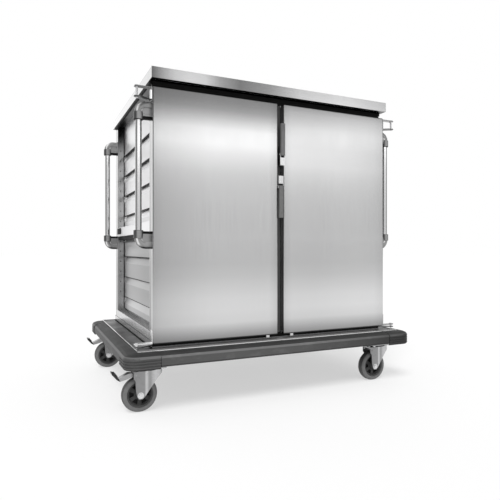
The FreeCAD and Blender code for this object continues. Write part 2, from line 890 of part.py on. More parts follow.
def make_latch():
    """The right door's latch housing and lever, above the middle of the door gap."""
    far, near = -S.latch_far_x, S.door_gap
    base, top = S.latch_base, S.latch_base + S.latch_block
    pivot_z = S.latch_base + S.pivot_rise
    block = box("LatchBlock", (far, -S.latch_front, base), (near, -S.latch_back, top))
    cheek = prism(
        "LatchCheek",
        "YZ_Plane",
        [
            (-S.latch_front, top - 1),
            (-S.latch_back, top - 1),
            (-S.latch_back, top + S.cheek_length - 16),
            (-S.latch_back - 10, top + S.cheek_length),
            (2 - S.door_front, top + S.cheek_length - 26),
            (2 - S.door_front, pivot_z + S.barrel_radius + 3),
            (-S.latch_front, pivot_z + S.barrel_radius),
        ],
        far,
        far + S.cheek_thick,
    )
    pivot = cylinder("LatchPivot", (far, -S.pivot_y, pivot_z), S.pivot_radius, near - far, 0)
    housing = fuse("LatchHousing", block, cheek, pivot)

    lever_low = near - 1 - S.lever_width
    lever_high = near - 1
    barrel = cylinder("LeverBarrel", (lever_low, -S.pivot_y, pivot_z), S.barrel_radius, S.lever_width, 0)
    grip_back = S.lever_thick - S.lever_front
    grip = box(
        "LeverGrip",
        (lever_low, -S.lever_front, pivot_z - S.barrel_radius),
        (lever_high, grip_back, pivot_z + S.lever_length),
    )
    nose = box(
        "LeverNose",
        (lever_low + 4, -S.pivot_y, pivot_z - 4),
        (lever_high - 4, S.barrel_radius * 2.5 - S.pivot_y, pivot_z + 4),
    )
    bore = cylinder(
        "LeverBore",
        (lever_low - 1, -S.pivot_y, pivot_z),
        S.pivot_radius + S.fit_gap,
        S.lever_width + 2,
        0,
    )
    lever = cut("LatchLever", fuse("LeverBlank", barrel, grip, nose), bore)
    return {"latch_housing": housing, "latch_lever": lever}


def make_doors():
    """Both doors; the left latch is the right one turned upside down below it."""
    for name, piece in make_right_door().items():
        finish(f"{name}_right", piece)
        finish(f"{name}_left", mirror(f"{name}_mirror", piece, 0))
    for name, piece in make_latch().items():
        finish(f"{name}_right", piece)
        flipped = mirror(f"{name}_flipped", piece, 2, S.latch_mirror)
        finish(f"{name}_left", mirror(f"{name}_mirror", flipped, 0))


def make_door_stops():
    front = -S.body_half_depth
    pivot_z = S.latch_base + S.pivot_rise
    top = pivot_z - S.barrel_radius
    half = S.striker_half
    striker = box(
        "UpperStriker",
        (-half, front - S.striker_depth, top - S.striker_thick),
        (half, front, top),
    )
    lower = mirror("LowerStriker", striker, 2, S.latch_mirror)
    finish("strikers", group("Strikers", striker, lower))
    rest = box(
        "DoorRest",
        (S.rest_x - S.rest_half, front - S.rest_depth, S.rest_base),
        (S.rest_x + S.rest_half, front, S.rest_top),
    )
    finish("door_rests", both_sides("DoorRests", rest))


# ---- castors ---------------------------------------------------------------------------------

def fork_outline(inset):
    """A fork seen from the side: crown, swept front and a leg down to the axle."""
    top, trail, axle = S.fork_top, S.trail, S.wheel_radius
    eye = 17 - inset
    return [
        (inset - 78, top - inset),
        (S.fork_front - inset, top - inset),
        (S.fork_front - inset, top - 12),
        (34 - inset, top - 34),
        (eye - trail, axle - eye / 2),
        (eye / 2 - trail, axle - eye),
        (-eye / 2 - trail, axle - eye),
        (-eye - trail, axle),
        (-trail - 22 + inset, axle + 26),
        (-trail - 24 + inset, axle + 66),
        (inset - 78, axle + 76),
    ]


def fork_plan(name, half_width, high):
    """The fork seen from above: straight legs, folded in towards a rounded nose."""
    start = -S.trail - 40
    nose = half_width - S.fork_closing
    nose_x = S.fork_front - (S.fork_width / 2 - S.fork_closing)
    outline = [
        (start, -half_width),
        (-S.fork_fold, -half_width),
        (nose_x, -nose),
        (nose_x, nose),
        (-S.fork_fold, half_width),
        (start, half_width),
    ]
    legs = prism(name + "Legs", "XY_Plane", outline, 0, high)
    return fuse(name, legs, cylinder(name + "Nose", (nose_x, 0, 0), nose, high))


def make_fork():
    """A pressed fork with its swivel axis on the Z axis."""
    half = S.fork_width / 2
    inner_half = half - S.fork_sheet
    outer = common(
        "ForkOuter",
        prism("ForkSide", "XZ_Plane", fork_outline(Length(0.0)), -half, half),
        fork_plan("ForkPlan", half, S.fork_top),
    )
    inner = fork_plan("ForkInside", inner_half, S.fork_top - S.fork_crown)
    behind = box(
        "ForkBehind",
        (-S.trail - 60, -inner_half, 0),
        (-S.trail, inner_half, S.fork_top - S.fork_crown),
    )
    crown_hole = cylinder(
        "CrownHole", (0, 0, S.fork_top - S.fork_crown - 1), S.king_pin_radius + S.fit_gap, S.fork_crown + 2
    )
    axle_hole = cylinder(
        "AxleHole", (-S.trail, -half - 1, S.wheel_radius), S.axle_radius, S.fork_width + 2, 1
    )
    pedal_hole = cylinder(
        "PedalHole",
        (-S.pedal_pivot_x, -half - 1, S.pedal_pivot_height),
        S.pedal_pin + S.fit_gap,
        S.fork_width + 2,
        1,
    )
    return cut("Fork", outer, inner, behind, crown_hole, axle_hole, pedal_hole)


def make_axle():
    """A bolt through the fork, a head on one side and a nut on the other."""
    half = S.fork_width / 2
    end = half + S.axle_nut_thick
    shank = cylinder("AxleShank", (0, -half, 0), S.axle_radius, S.fork_width, 1)
    hexagon = [
        (S.axle_nut * math.cos(math.radians(60 * turn)), S.axle_nut * math.sin(math.radians(60 * turn)))
        for turn in range(6)
    ]
    head = prism("AxleHead", "XZ_Plane", hexagon, -end, -half)
    nut = prism("AxleNut", "XZ_Plane", hexagon, half, end)
    return place(fuse("Axle", shank, head, nut), (-S.trail, 0, S.wheel_radius))


def make_hub():
    """A moulded wheel centre: boss, spoked web and rim, with a thin floor behind the spokes."""
    half_boss, half_web, half_rim = S.boss_width / 2, S.web_width / 2, S.rim_width / 2
    bore = S.axle_radius + S.fit_gap
    rim, inner, boss = S.rim_radius, S.rim_inner, S.boss_radius
    outline = [
        (bore, -half_boss),
        (boss - 3, -half_boss),
        (boss, -half_web),
        (inner, -half_web),
        (inner + 3, -half_rim),
        (rim, -half_rim),
        (rim, half_rim),
        (inner + 3, half_rim),
        (inner, half_web),
        (boss, half_web),
        (boss - 3, half_boss),
        (bore, half_boss),
    ]
    body = turned("Hub", "XY_Plane", outline)
    doc.recompute()
    window = body.newObject("PartDesign::Pocket", "HubWindow")
    window.Profile = sketch(body, "XZ_Plane", window_outline())
    window.Type = "ThroughAll"
    window.SideType = "Symmetric"
    pattern = body.newObject("PartDesign::PolarPattern", "HubWindows")
    pattern.Originals = [window]
    pattern.Axis = (next(item for item in body.Origin.OriginFeatures if item.Role == "Y_Axis"), [""])
    pattern.Angle = 360.0
    bind(pattern, "Occurrences", S.window_count)
    body.Tip = pattern
    floor = cut(
        "WindowFloor",
        cylinder("FloorDisc", (0, -S.window_floor / 2, 0), inner + 1, S.window_floor, 1),
        cylinder("FloorBore", (0, -half_web, 0), boss - 4, S.web_width, 1),
    )
    wheel = fuse("HubWithFloor", body, floor)
    return place(wheel, (-S.trail, 0, S.wheel_radius))


def window_outline():
    """One window in the web, wider towards the rim."""
    inner, outer = S.boss_radius + 5, S.rim_inner - 4
    return [(inner, -6), (outer, -14), (outer, 14), (inner, 6)]


def make_tyre():
    """A solid tyre with a crowned tread."""
    half, radius, rim = S.wheel_width / 2, S.wheel_radius, S.rim_radius
    outline = [
        (rim, -half + 4),
        (rim + 3, -half),
        (radius - 10, -half + 1),
        (radius - 3, -half + 6),
        (radius, -half + 15),
        (radius, half - 15),
        (radius - 3, half - 6),
        (radius - 10, half - 1),
        (rim + 3, half),
        (rim, half - 4),
    ]
    return place(turned("Tyre", "XY_Plane", outline), (-S.trail, 0, S.wheel_radius))


def make_pedal():
    """The brake's foot lever: a channel pivoted in the fork, and a moulded toe turned up at its end."""
    pivot_x, pivot_z = -S.pedal_pivot_x, S.pedal_pivot_height
    bend_top, bend_base = (pivot_x - 72, pivot_z - 11), (pivot_x - 67, pivot_z - 24)
    half, inner_half = S.pedal_width / 2, S.pedal_width / 2 - S.pedal_sheet
    bar = prism(
        "PedalBar",
        "XZ_Plane",
        [
            (pivot_x + 6, pivot_z + 5),
            (pivot_x + 6, pivot_z - 6),
            (pivot_x - 12, pivot_z - 9),
            (pivot_x - 36, pivot_z - 17),
            bend_base,
            bend_top,
            (pivot_x - 30, pivot_z + 8),
        ],
        -half,
        half,
    )
    inside = prism(
        "PedalInside",
        "XZ_Plane",
        [
            (pivot_x - 5, pivot_z + 2),
            (pivot_x - 5, pivot_z - 30),
            (pivot_x - 64, pivot_z - 30),
            (pivot_x - 64, pivot_z - 11),
            (pivot_x - 30, pivot_z + 4),
        ],
        -inner_half,
        inner_half,
    )
    arm = cut("PedalChannel", bar, inside)
    pin_start = (pivot_x, -S.fork_width / 2, pivot_z)
    pivot = cylinder("PedalPin", pin_start, S.pedal_pin, S.fork_width, 1)
    toe = prism(
        "PedalToe",
        "XZ_Plane",
        [
            bend_top,
            bend_base,
            (pivot_x - 82, pivot_z - 14),
            (pivot_x - 102, pivot_z + 9),
            (pivot_x - 104, pivot_z + 18),
            (pivot_x - 92, pivot_z + 15),
            (pivot_x - 78, pivot_z - 2),
        ],
        -S.toe_width / 2,
        S.toe_width / 2,
    )
    return {"brake_pedal": fuse("PedalArm", arm, pivot), "pedal_toe": toe}


def make_castors():
    pieces = {
        "castor_fork": make_fork(),
        "axle_bolt": make_axle(),
        "wheel_hub": make_hub(),
        "tyre": make_tyre(),
    }
    brakes = make_pedal()
    for end, end_sign in ENDS.items():
        for side, side_sign in SIDES.items():
            centre = (S.castor_x * side_sign, S.castor_y * end_sign, 0)
            fitted = dict(pieces, **brakes) if side == "left" else pieces
            for name, piece in fitted.items():
                label = f"{name}_{end}" if name in brakes else f"{name}_{end}_{side}"
                finish(label, moved(label + "_copy", piece, centre))


def make_castor_plates():
    """Mounting plates with their swivel race and king pin, and the bolts that hold them."""
    top = S.chassis_base
    under = top - S.plate_thick
    plate = box(
        "PlateBlank",
        (-S.plate_half_x, -S.plate_half_y, under),
        (S.plate_half_x, S.plate_half_y, top),
    )
    crown_top = S.fork_top + S.running_gap
    crown_under = S.fork_top - S.fork_crown - S.running_gap
    spindle = turned(
        "SwivelRace",
        "XZ_Plane",
        [
            (Length(0.0), crown_under - 6),
            (S.king_pin_head, crown_under - 6),
            (S.king_pin_head, crown_under),
            (S.king_pin_radius, crown_under),
            (S.king_pin_radius, crown_top),
            (S.race_radius, crown_top),
            (S.race_radius + 2, under),
            (Length(0.0), under),
        ],
    )
    spots = [(x, y) for x in (-S.bolt_x, S.bolt_x) for y in (-S.bolt_y, S.bolt_y)]
    holes = [
        cylinder(f"PlateHole{index}", (x, y, under - 1), S.bolt_radius, S.plate_thick + 2)
        for index, (x, y) in enumerate(spots)
    ]
    fitted = cut("PlateDrilled", fuse("PlateAndRace", plate, spindle), *holes)
    shift = (S.castor_x, S.castor_y, 0)
    finish("castor_plates", all_corners("CastorPlates", moved("PlatePlaced", fitted, shift)))
    bolts = [
        fuse(
            f"Bolt{index}",
            cylinder(f"BoltHead{index}", (x, y, under - S.bolt_head_thick), S.bolt_head, S.bolt_head_thick),
            cylinder(f"BoltShank{index}", (x, y, under - 1), S.bolt_radius, S.plate_thick + 1),
        )
        for index, (x, y) in enumerate(spots)
    ]
    placed = moved("BoltsPlaced", group("BoltSet", *bolts), shift)
    finish("castor_bolts", all_corners("CastorBolts", placed))


# ---- the whole trolley -----------------------------------------------------------------------

def check_and_write():
    """Stops on any failed object, then writes each sub-part to its own file."""
    failed = [obj.Name for obj in doc.Objects if {"Invalid", "Error"} & set(obj.State)]
    bad = [obj.Label for obj in PARTS if obj.Shape.isNull() or not obj.Shape.isValid()]
    if failed or bad:
        raise RuntimeError(f"failed objects: {failed}; bad sub-parts: {bad}")
    for obj in PARTS:
        obj.Shape.exportStep(f"parts/{obj.Label}.step")


def main():
    make_walls()
    make_posts()
    make_front_rails()
    make_side_sills()
    make_ceiling_floor_and_rear()
    make_roof()
    make_side_bars()
    make_base_frame()
    make_deck()
    make_chassis()
    make_bumper_rails()
    make_bumper_corners()
    make_hand_rails()
    make_hinge_fixtures()
    make_doors()
    make_door_stops()
    make_castors()
    make_castor_plates()
    doc.recompute()
    check_and_write()


main()
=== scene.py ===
"""Looks of the food service trolley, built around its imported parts.

Metres, +Z up, +X to the right along the door front, +Y from the doors to the back. Places come from the
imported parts' boxes, so a piece stays where its part is.
"""
import math

import bmesh
import bpy
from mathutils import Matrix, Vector


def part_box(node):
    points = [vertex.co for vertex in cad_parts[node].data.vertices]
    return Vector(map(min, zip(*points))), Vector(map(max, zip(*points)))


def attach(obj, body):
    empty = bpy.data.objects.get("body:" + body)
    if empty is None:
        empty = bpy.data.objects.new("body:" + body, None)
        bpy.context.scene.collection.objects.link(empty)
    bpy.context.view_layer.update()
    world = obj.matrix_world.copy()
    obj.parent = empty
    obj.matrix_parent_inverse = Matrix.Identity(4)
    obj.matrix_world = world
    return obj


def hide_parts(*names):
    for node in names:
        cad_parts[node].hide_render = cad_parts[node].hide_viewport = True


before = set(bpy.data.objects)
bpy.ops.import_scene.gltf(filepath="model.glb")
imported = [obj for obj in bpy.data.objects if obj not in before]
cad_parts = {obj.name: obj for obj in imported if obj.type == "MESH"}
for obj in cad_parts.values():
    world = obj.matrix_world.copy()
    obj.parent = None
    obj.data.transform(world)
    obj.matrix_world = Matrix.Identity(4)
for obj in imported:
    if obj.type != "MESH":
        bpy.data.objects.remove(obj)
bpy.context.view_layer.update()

MM = 0.001
SIDES = {"left": -1, "right": 1}
ENDS = {"front": -1, "rear": 1}
SCENE = bpy.context.scene
MATERIALS = {}

# ---- sizes that the parts' boxes don't give --------------------------------------------------

SHEET = 1.0 * MM
FOLD_RADIUS = 7 * MM
HAIR = 0.3 * MM  # how far a flat detail is sunk into what it lies on

TIER_LOWEST, TIER_PITCH, TIER_COUNT = 443 * MM, 125 * MM, 8
RUNNER_REACH, RUNNER_DROP = 16 * MM, 44 * MM
# Black strips in the runner grooves paint the shade under each ledge.
SHADE_STRIP_DEPTH = 14.5 * MM
SHADE_STRIP_TOP, SHADE_STRIP_BASE = 1.1 * MM, 4 * MM  # below the ledge that trays stand on
SEAM_PROUD, SEAM_WIDTH = 4 * MM, 3 * MM
SLIT_WIDTH, SLIT_BASE, SLIT_TOP, SLIT_INSET = 3.2 * MM, 22 * MM, 48 * MM, 40 * MM
HOLE_RISES = (30 * MM, 92 * MM)
HOLE_INSET = 17 * MM

POST_WIDTH = 48 * MM
BASE_BAR = 45 * MM  # width of the base frame's bars
FOOT = 40 * MM  # width and height of the tubes under the corner posts
# Sizes of the black rubber that paints the shade under the roof.
SHADE_GASKET_LIP, SHADE_GASKET_RIB, SHADE_GASKET_SIDE, SHADE_GASKET_DROP = 6 * MM, 3 * MM, 11.5 * MM, 11 * MM
SHADE_GASKET_RIBS = (0.3, 0.62)  # heights of the ribs, as shares of the profile
CENTRE_PROUD = 4 * MM

FORK_FRONT = 58 * MM
BARREL_RADIUS = 7 * MM
LATCH_PIVOT_Y = -517 * MM
CORNER_REACH = 151 * MM
JOINT_WIDTH, JOINT_PROUD = 2.4 * MM, 0.6 * MM

GRIP_X, GRIP_Y = 703 * MM, 458 * MM
ELBOW_LENGTH, ELBOW_WEB = 84 * MM, 68 * MM
# Sizes of the black strips that paint the shade at the elbows' web edges.
LIP_GAP, LIP_REACH, LIP_HALF_WIDTH = 0.2 * MM, 12 * MM, 12 * MM
# Size of the black block that paints the shade under each side bar.
BAR_SHADE_DEPTH, BAR_SHADE_HEIGHT = 12 * MM, 20 * MM
PRESSED_RIBS = (0.33, 0.66)  # heights on the rear wall, as shares of it
TOE_FIRST, TOE_LAST = (0.66, 0.56), (0.36, 0.90)  # ends of the toe's slope, as shares of its box in X and Z

# Outlines of turned details in millimetres: (along the axis, away from the face; radius).
# A black disc in place of each post hole, painting the dark inside the hole.
POST_HOLE = [(-0.3, 3.6), (0.0, 3.6), (0.0, 0.4), (-0.3, 0.4)]
# A black ring on the floor of the hub windows, painting the shade in them.
WINDOW_SHADE_BACK = [(1.4, 25), (1.4, 46), (2.0, 46), (2.0, 25)]
AXLE_WASHER = [(0.0, 7), (0.0, 14.5), (1.2, 14.5), (1.6, 13.5), (1.6, 7)]
SWIVEL_SEAL = [(0.6, 35), (0.6, 38), (3, 39), (6, 38.5), (6, 36.5)]
LATCH_RIVET = [(0.0, 0.3), (0.0, 4.6), (0.8, 4.4), (1.7, 2.6), (2.0, 0.3)]
REAR_RIVET = [(0.0, 0.3), (0.0, 5.2), (0.8, 4.9), (1.7, 3.2), (2.0, 0.3)]
DOOR_SCREW = [(0.0, 0.3), (0.0, 4.5), (1.0, 4.0), (1.5, 2.0), (1.5, 0.3)]
COLLAR_RING = [(-4, 20.8), (-4, 21.8), (0.0, 21.8), (1, 20.6), (1, 15.2), (0.0, 15.2)]
ELBOW_COLLAR = [(-0.5, 21.2), (-0.5, 22), (-34, 22), (-36, 19.2), (-13, 19.2)]

# ---- studio ----------------------------------------------------------------------------------

CAMERA_PLACE = (-1.166, -2.671, 0.730)
CAMERA_TURN = -24.75
LENS_MM, SENSOR_MM = 35.0, 36.0
FAR_CLIP = 200.0
KEY_ENERGY, KEY_SPREAD, KEY_TURN = 2.0, 24, (30, -26)
FLOOR_RADIUS, FLOOR_SIDES = 60, 96
FLOOR_TONE, FLOOR_GLOW, FLOOR_ROUGHNESS = 0.43, 0.55, 0.9

# Brightness of the studio by the sine of the height above the horizon.
FRONT_BAND = [
    (0.0, 0.68), (0.20, 0.68), (0.36, 0.80), (0.50, 0.90), (0.58, 1.25), (0.65, 2.8), (0.69, 1.7),
    (0.73, 0.6), (0.80, 0.72), (1.0, 0.9),
]
FRONT_HEIGHTS = (-0.1, 0.4)
BACK_BAND = [(0.0, 1.2), (0.25, 1.25), (0.6, 0.9), (1.0, 0.9)]
FRONT_TO_BACK = 0.3
# How far the dark flags at the sides show, by how far a direction points to the front or back.
SIDE_FLAG = [(0.0, 1.0), (0.55, 1.0), (0.80, 0.0)]
FLAG_TONE = (0.3, 0.3, 0.3, 1)
TOP_SHARE = [(0.0, 0.0), (0.35, 0.0), (0.75, 1.0)]
TOP_TONE = (0.6, 0.6, 0.6, 1)

# ---- painted light and shade along a part's own box, from its low end at 0 to its high end at 1 ---

# Painted reflections on the door faces: dark at the top and bottom edges, bright bands between, and tones
# across each door.
DOOR_REFLECTION_UPRIGHT = {
    "left": [
        (0.0, 0.4), (0.02, 0.56), (0.067, 1.0), (0.115, 1.06), (0.165, 1.04), (0.21, 0.96), (0.26, 0.87),
        (0.31, 0.85), (0.42, 1.0), (0.58, 0.98), (0.68, 0.94), (0.76, 0.98), (0.8, 1.05), (0.86, 1.03),
        (0.9, 0.8), (0.94, 0.54), (0.97, 0.45), (1.0, 0.4),
    ],
    "right": [
        (0.0, 0.42), (0.02, 0.56), (0.067, 0.96), (0.115, 1.05), (0.165, 1.02), (0.21, 0.93), (0.26, 0.84),
        (0.31, 0.83), (0.42, 1.0), (0.6, 1.0), (0.74, 1.04), (0.82, 0.88), (0.9, 0.84), (0.97, 0.7),
        (1.0, 0.55),
    ],
}
DOOR_REFLECTION_ACROSS = {
    "left": [
        (0.0, 0.70), (0.06, 0.79), (0.15, 0.85), (0.24, 0.90), (0.33, 0.945), (0.42, 0.985), (0.52, 1.0),
        (0.92, 1.0), (0.97, 0.9), (1.0, 0.8),
    ],
    "right": [
        (0.0, 0.85), (0.03, 0.94), (0.07, 1.0), (0.3, 1.0), (0.5, 1.04), (0.75, 1.07), (0.9, 1.06),
        (1.0, 0.95),
    ],
}
# Painted reflection streaks along the roof's front rim, painted shade on its back and side rims, and a
# painted dark underside.
ROOF_REFLECTION_ACROSS = [
    (0.0, 0.18), (0.046, 0.52), (0.081, 0.72), (0.135, 0.84), (0.19, 0.83), (0.247, 0.47), (0.325, 0.26),
    (0.449, 0.4), (0.579, 0.73), (0.766, 0.87), (0.917, 0.77), (1.0, 0.7),
]
ROOF_BACK_SHADE = [(0.0, 0.45), (0.3, 0.62), (0.6, 0.5), (1.0, 0.6)]
ROOF_SIDE_SHADE = [(0.0, 0.62), (1.0, 0.75)]
ROOF_UNDERSIDE_SHADE = [(0.0, 0.03), (1.0, 0.03)]
# Painted reflection bands up the rear wall.
REAR_REFLECTION_UPRIGHT = [(0.0, 0.75), (0.12, 1.0), (0.3, 0.9), (0.5, 1.04), (0.72, 0.94), (0.88, 1.0), (1.0, 0.8)]
# Painted shade: the posts' fronts dark at the top under the roof, their sides darker low down.
POST_TOP_SHADE = [(0.0, 0.8), (0.5, 0.9), (0.8, 0.8), (0.87, 0.5), (0.91, 0.2), (0.95, 0.04), (1.0, 0.02)]
POST_SIDE_SHADE = [(0.0, 0.45), (0.4, 0.6), (1.0, 0.85)]
# Painted light on the side walls towards the rear, and painted shade low down and at the top.
WALL_LIGHT_ALONG = [(0.0, 1.0), (0.35, 1.05), (0.6, 1.3), (0.8, 1.45), (1.0, 1.47)]
WALL_SHADE_UPRIGHT = [
    (0.0, 0.62), (0.06, 0.56), (0.14, 0.48), (0.3, 0.44), (0.38, 0.62), (0.46, 1.0), (0.97, 1.0), (1.0, 0.6),
]
# Painted shade on the sills' tops, darker towards the rear.
SILL_SHADE_ALONG = [(0.0, 0.75), (0.5, 0.6), (1.0, 0.4)]
# Painted reflection: the deck's strip in front of the doors much lighter than the rest.
DECK_FRONT_LIGHT = [(0.0, 12.0), (0.045, 12.0), (0.062, 1.0)]
# Painted shade on the hinge arms' undersides, and on the front and back faces of the upper arms.
ARM_UNDERSIDE_SHADE = [(0.0, 0.1), (1.0, 0.1)]
ARM_FACE_SHADE = [(0.0, 0.8), (0.3, 0.8), (0.7, 0.25), (1.0, 0.25)]
# Painted reflection bands across the castor forks' front and back faces.
FORK_REFLECTION_ACROSS = [
    (0.0, 0.6), (0.36, 0.66), (0.39, 1.25), (0.45, 1.2), (0.5, 0.78), (0.56, 0.74), (0.64, 1.1),
    (0.74, 1.25), (0.9, 1.1), (1.0, 0.8),
]
# Painted light and shade along the bumper's front, darker towards the right end.
BUMPER_SHADE_ACROSS = [(0.0, 1.0), (0.3, 1.15), (0.55, 1.1), (0.8, 0.75), (0.9, 0.5), (1.0, 0.4)]
# Painted shade on the floors of the hub windows.
HUB_WINDOW_SHADE = [(0.0, 1.1), (0.38, 1.1), (0.41, 0.03), (0.59, 0.03), (0.62, 1.1), (1.0, 1.1)]

# ---- painted light and shade by where a face looks, as by_facing reads them ---------------------

# Painted highlight along the bumper's rounded top edge, painted shade on its top faces.
BUMPER_HIGHLIGHT_AND_SHADE = [
    (0.0, 0.3), (0.45, 0.6), (0.5, 0.85), (0.6, 0.85), (0.69, 0.9), (0.74, 1.5), (0.77, 1.5), (0.82, 0.5),
    (1.0, 0.42),
]
# Painted shade under the elbows and painted highlights on their outer bends.
ELBOW_LIGHT_AND_SHADE = [(0.0, 0.03), (0.12, 0.05), (0.28, 1.0), (0.52, 1.0), (0.8, 1.3), (1.0, 0.9)]
ELBOW_OUTER_HIGHLIGHT = [(0.0, 1.1), (0.2, 0.9), (0.34, 1.3), (0.46, 2.9), (0.62, 2.9), (0.76, 1.0), (1.0, 0.25)]
# Painted reflection: the collars light where they face front and back, dark on their flanks.
COLLAR_REFLECTION = [(0.0, 1.8), (0.4, 1.6), (0.62, 0.35), (1.0, 0.25)]
# Painted shade on the undersides of the side bars and the ceiling; painted light on the runners' upward
# slopes, painted shade under them.
BAR_UNDERSIDE_SHADE = [(0.0, 0.03), (0.3, 0.05), (0.45, 1.0), (1.0, 1.0)]
CEILING_UNDERSIDE_SHADE = [(0.0, 0.28), (0.3, 0.28), (0.45, 1.0), (1.0, 1.0)]
RUNNER_LIGHT_AND_SHADE = [(0.0, 0.3), (0.45, 1.0), (0.55, 1.0), (0.66, 1.2), (1.0, 1.2)]

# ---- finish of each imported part, by the start of its name; the first match counts ---------------

NODE_MATERIALS = [
    ("tyre", "tyre_rubber"),
    ("wheel_hub", "hub_plastic"),
    ("axle_bolt", "bright_bolt"),
    ("castor_bolts", "bright_bolt"),
    ("castor_fork", "fork_zinc"),
    ("castor", "zinc_plated"),
    ("brake_pedal", "zinc_plated"),
    ("pedal_toe", "black_plastic"),
    ("bumper", "bumper_plastic"),
    ("handle_elbows", "elbow_plastic"),
    ("handle_tubes", "steel_polished"),
    ("latch_lever", "lever_plastic"),
    ("side_buffers", "black_rubber"),
    ("door_seal", "black_rubber"),
    ("deck_trim", "steel_polished"),
    ("hinge_pins", "bright_bolt"),
    # The right hinge arms take a darker steel than the left ones: painted shade.
    ("hinge_arms_right", "shaded_steel"),
    ("hinge_arms", "arm_steel"),
    ("hinge", "hinge_steel"),
    ("latch_housing", "steel_fittings"),
    ("strikers", "steel_fittings"),
    ("door_rests", "sill_steel"),
    ("door", "door_steel"),
    ("deck_plate", "deck_coating"),
    ("base_frame", "sill_steel"),
    ("chassis_frame", "bar_steel"),
    ("side_bars", "bar_steel"),
    ("side_sills", "sill_steel"),
    ("side_wall", "wall_steel"),
    ("rear_wall", "rear_steel"),
    ("corner_posts", "post_steel"),
    ("roof_panel", "roof_steel"),
    ("ceiling_panel", "ceiling_steel"),
    ("front_rails", "rail_steel"),
    ("", "body_steel"),
]

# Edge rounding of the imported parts, in millimetres.
BEVELS = {
    "roof_panel": 0.8, "bumper_rails": 4.0, "bumper_corners": 3.0, "deck_trim": 0.8, "side_bars": 0.4,
    "handle_elbows": 1.5, "brake_pedal_front": 1.2, "brake_pedal_rear": 1.2, "pedal_toe_front": 2.0,
    "pedal_toe_rear": 2.0, "latch_lever_left": 1.5, "latch_lever_right": 1.5,
}
USUAL_BEVEL = 0.6
NODE_BEVEL_ANGLE, PIECE_BEVEL_ANGLE = 35, 30
WELD_GAP = 0.02 * MM


# ---- camera, floor and light -------------------------------------------------------------------

def make_camera():
    """Level camera in front of the left door, turned to the right."""
    data = bpy.data.cameras.new("Camera")
    data.lens = LENS_MM
    data.sensor_width = SENSOR_MM
    data.clip_end = FAR_CLIP
    camera = bpy.data.objects.new("Camera", data)
    camera.location = CAMERA_PLACE
    camera.rotation_euler = (math.radians(90), 0, math.radians(CAMERA_TURN))
    SCENE.collection.objects.link(camera)
    SCENE.camera = camera


def make_world():
    """A plain studio: the camera sees white, and the metal sees broad bright and dark bands."""
    world = bpy.data.worlds.new("Studio")
    world.use_nodes = True
    SCENE.world = world
    tree = world.node_tree
    nodes, links = tree.nodes, tree.links
    nodes.clear()
    output = nodes.new("ShaderNodeOutputWorld")
    coordinate = nodes.new("ShaderNodeTexCoord")
    split = nodes.new("ShaderNodeSeparateXYZ")
    links.new(coordinate.outputs["Generated"], split.inputs[0])

    front = ramp(tree, spread(tree, split.outputs["Z"], 0.0, 1.0, FRONT_HEIGHTS), FRONT_BAND)
    back = ramp(tree, spread(tree, split.outputs["Z"], 0.0, 1.0, (0.0, 1.0)), BACK_BAND)
    facing = nodes.new("ShaderNodeMapRange")
    facing.interpolation_type = "SMOOTHSTEP"
    facing.inputs["From Min"].default_value = -FRONT_TO_BACK
    facing.inputs["From Max"].default_value = FRONT_TO_BACK
    links.new(split.outputs["Y"], facing.inputs["Value"])
    around = mix_colour(tree, facing.outputs[0], front, back)

    side = math_node(tree, "ABSOLUTE", split.outputs["Y"], 0.0)
    flagged = mix_colour(tree, ramp(tree, side, SIDE_FLAG), around, FLAG_TONE)
    studio = mix_colour(tree, ramp(tree, split.outputs["Z"], TOP_SHARE), flagged, TOP_TONE)

    lit = nodes.new("ShaderNodeBackground")
    links.new(studio, lit.inputs["Color"])
    seen = nodes.new("ShaderNodeBackground")
    seen.inputs["Color"].default_value = (1, 1, 1, 1)
    path = nodes.new("ShaderNodeLightPath")
    mix = nodes.new("ShaderNodeMixShader")
    links.new(path.outputs["Is Camera Ray"], mix.inputs[0])
    links.new(lit.outputs[0], mix.inputs[1])
    links.new(seen.outputs[0], mix.inputs[2])
    links.new(mix.outputs[0], output.inputs[0])


def make_lights():
    """One soft key light from the front left."""
    sun = bpy.data.lights.new("KeyLight", "SUN")
    sun.energy = KEY_ENERGY
    sun.angle = math.radians(KEY_SPREAD)
    key = bpy.data.objects.new("KeyLight", sun)
    key.rotation_euler = (math.radians(KEY_TURN[0]), math.radians(KEY_TURN[1]), 0)
    key.visible_glossy = False
    SCENE.collection.objects.link(key)


def make_floor():
    """A pale floor, far wider than the view."""
    mesh = bpy.data.meshes.new("Floor")
    floor = bpy.data.objects.new("Floor", mesh)
    shape = bmesh.new()
    bmesh.ops.create_circle(shape, cap_ends=True, segments=FLOOR_SIDES, radius=FLOOR_RADIUS)
    shape.to_mesh(mesh)
    shape.free()
    SCENE.collection.objects.link(floor)
    make_floor_finish()
    mesh.materials.append(MATERIALS["studio_floor"])


def make_floor_finish():
    """Matt floor with a faint glow, so that only the shadow shows against the white studio."""
    shader = new_material("studio_floor")[0]
    shader.inputs["Base Color"].default_value = (FLOOR_TONE, FLOOR_TONE, FLOOR_TONE, 1)
    shader.inputs["Emission Color"].default_value = (1, 1, 1, 1)
    shader.inputs["Emission Strength"].default_value = FLOOR_GLOW
    shader.inputs["Roughness"].default_value = FLOOR_ROUGHNESS
    shader.inputs["Specular IOR Level"].default_value = 0.0


# ---- shader nodes ------------------------------------------------------------------------------

def new_material(name):
    """Starts a named material and gives its shader and node tree."""
    material = bpy.data.materials.new(name)
    material.use_nodes = True
    tree = material.node_tree
    MATERIALS[name] = material
    return tree.nodes["Principled BSDF"], tree


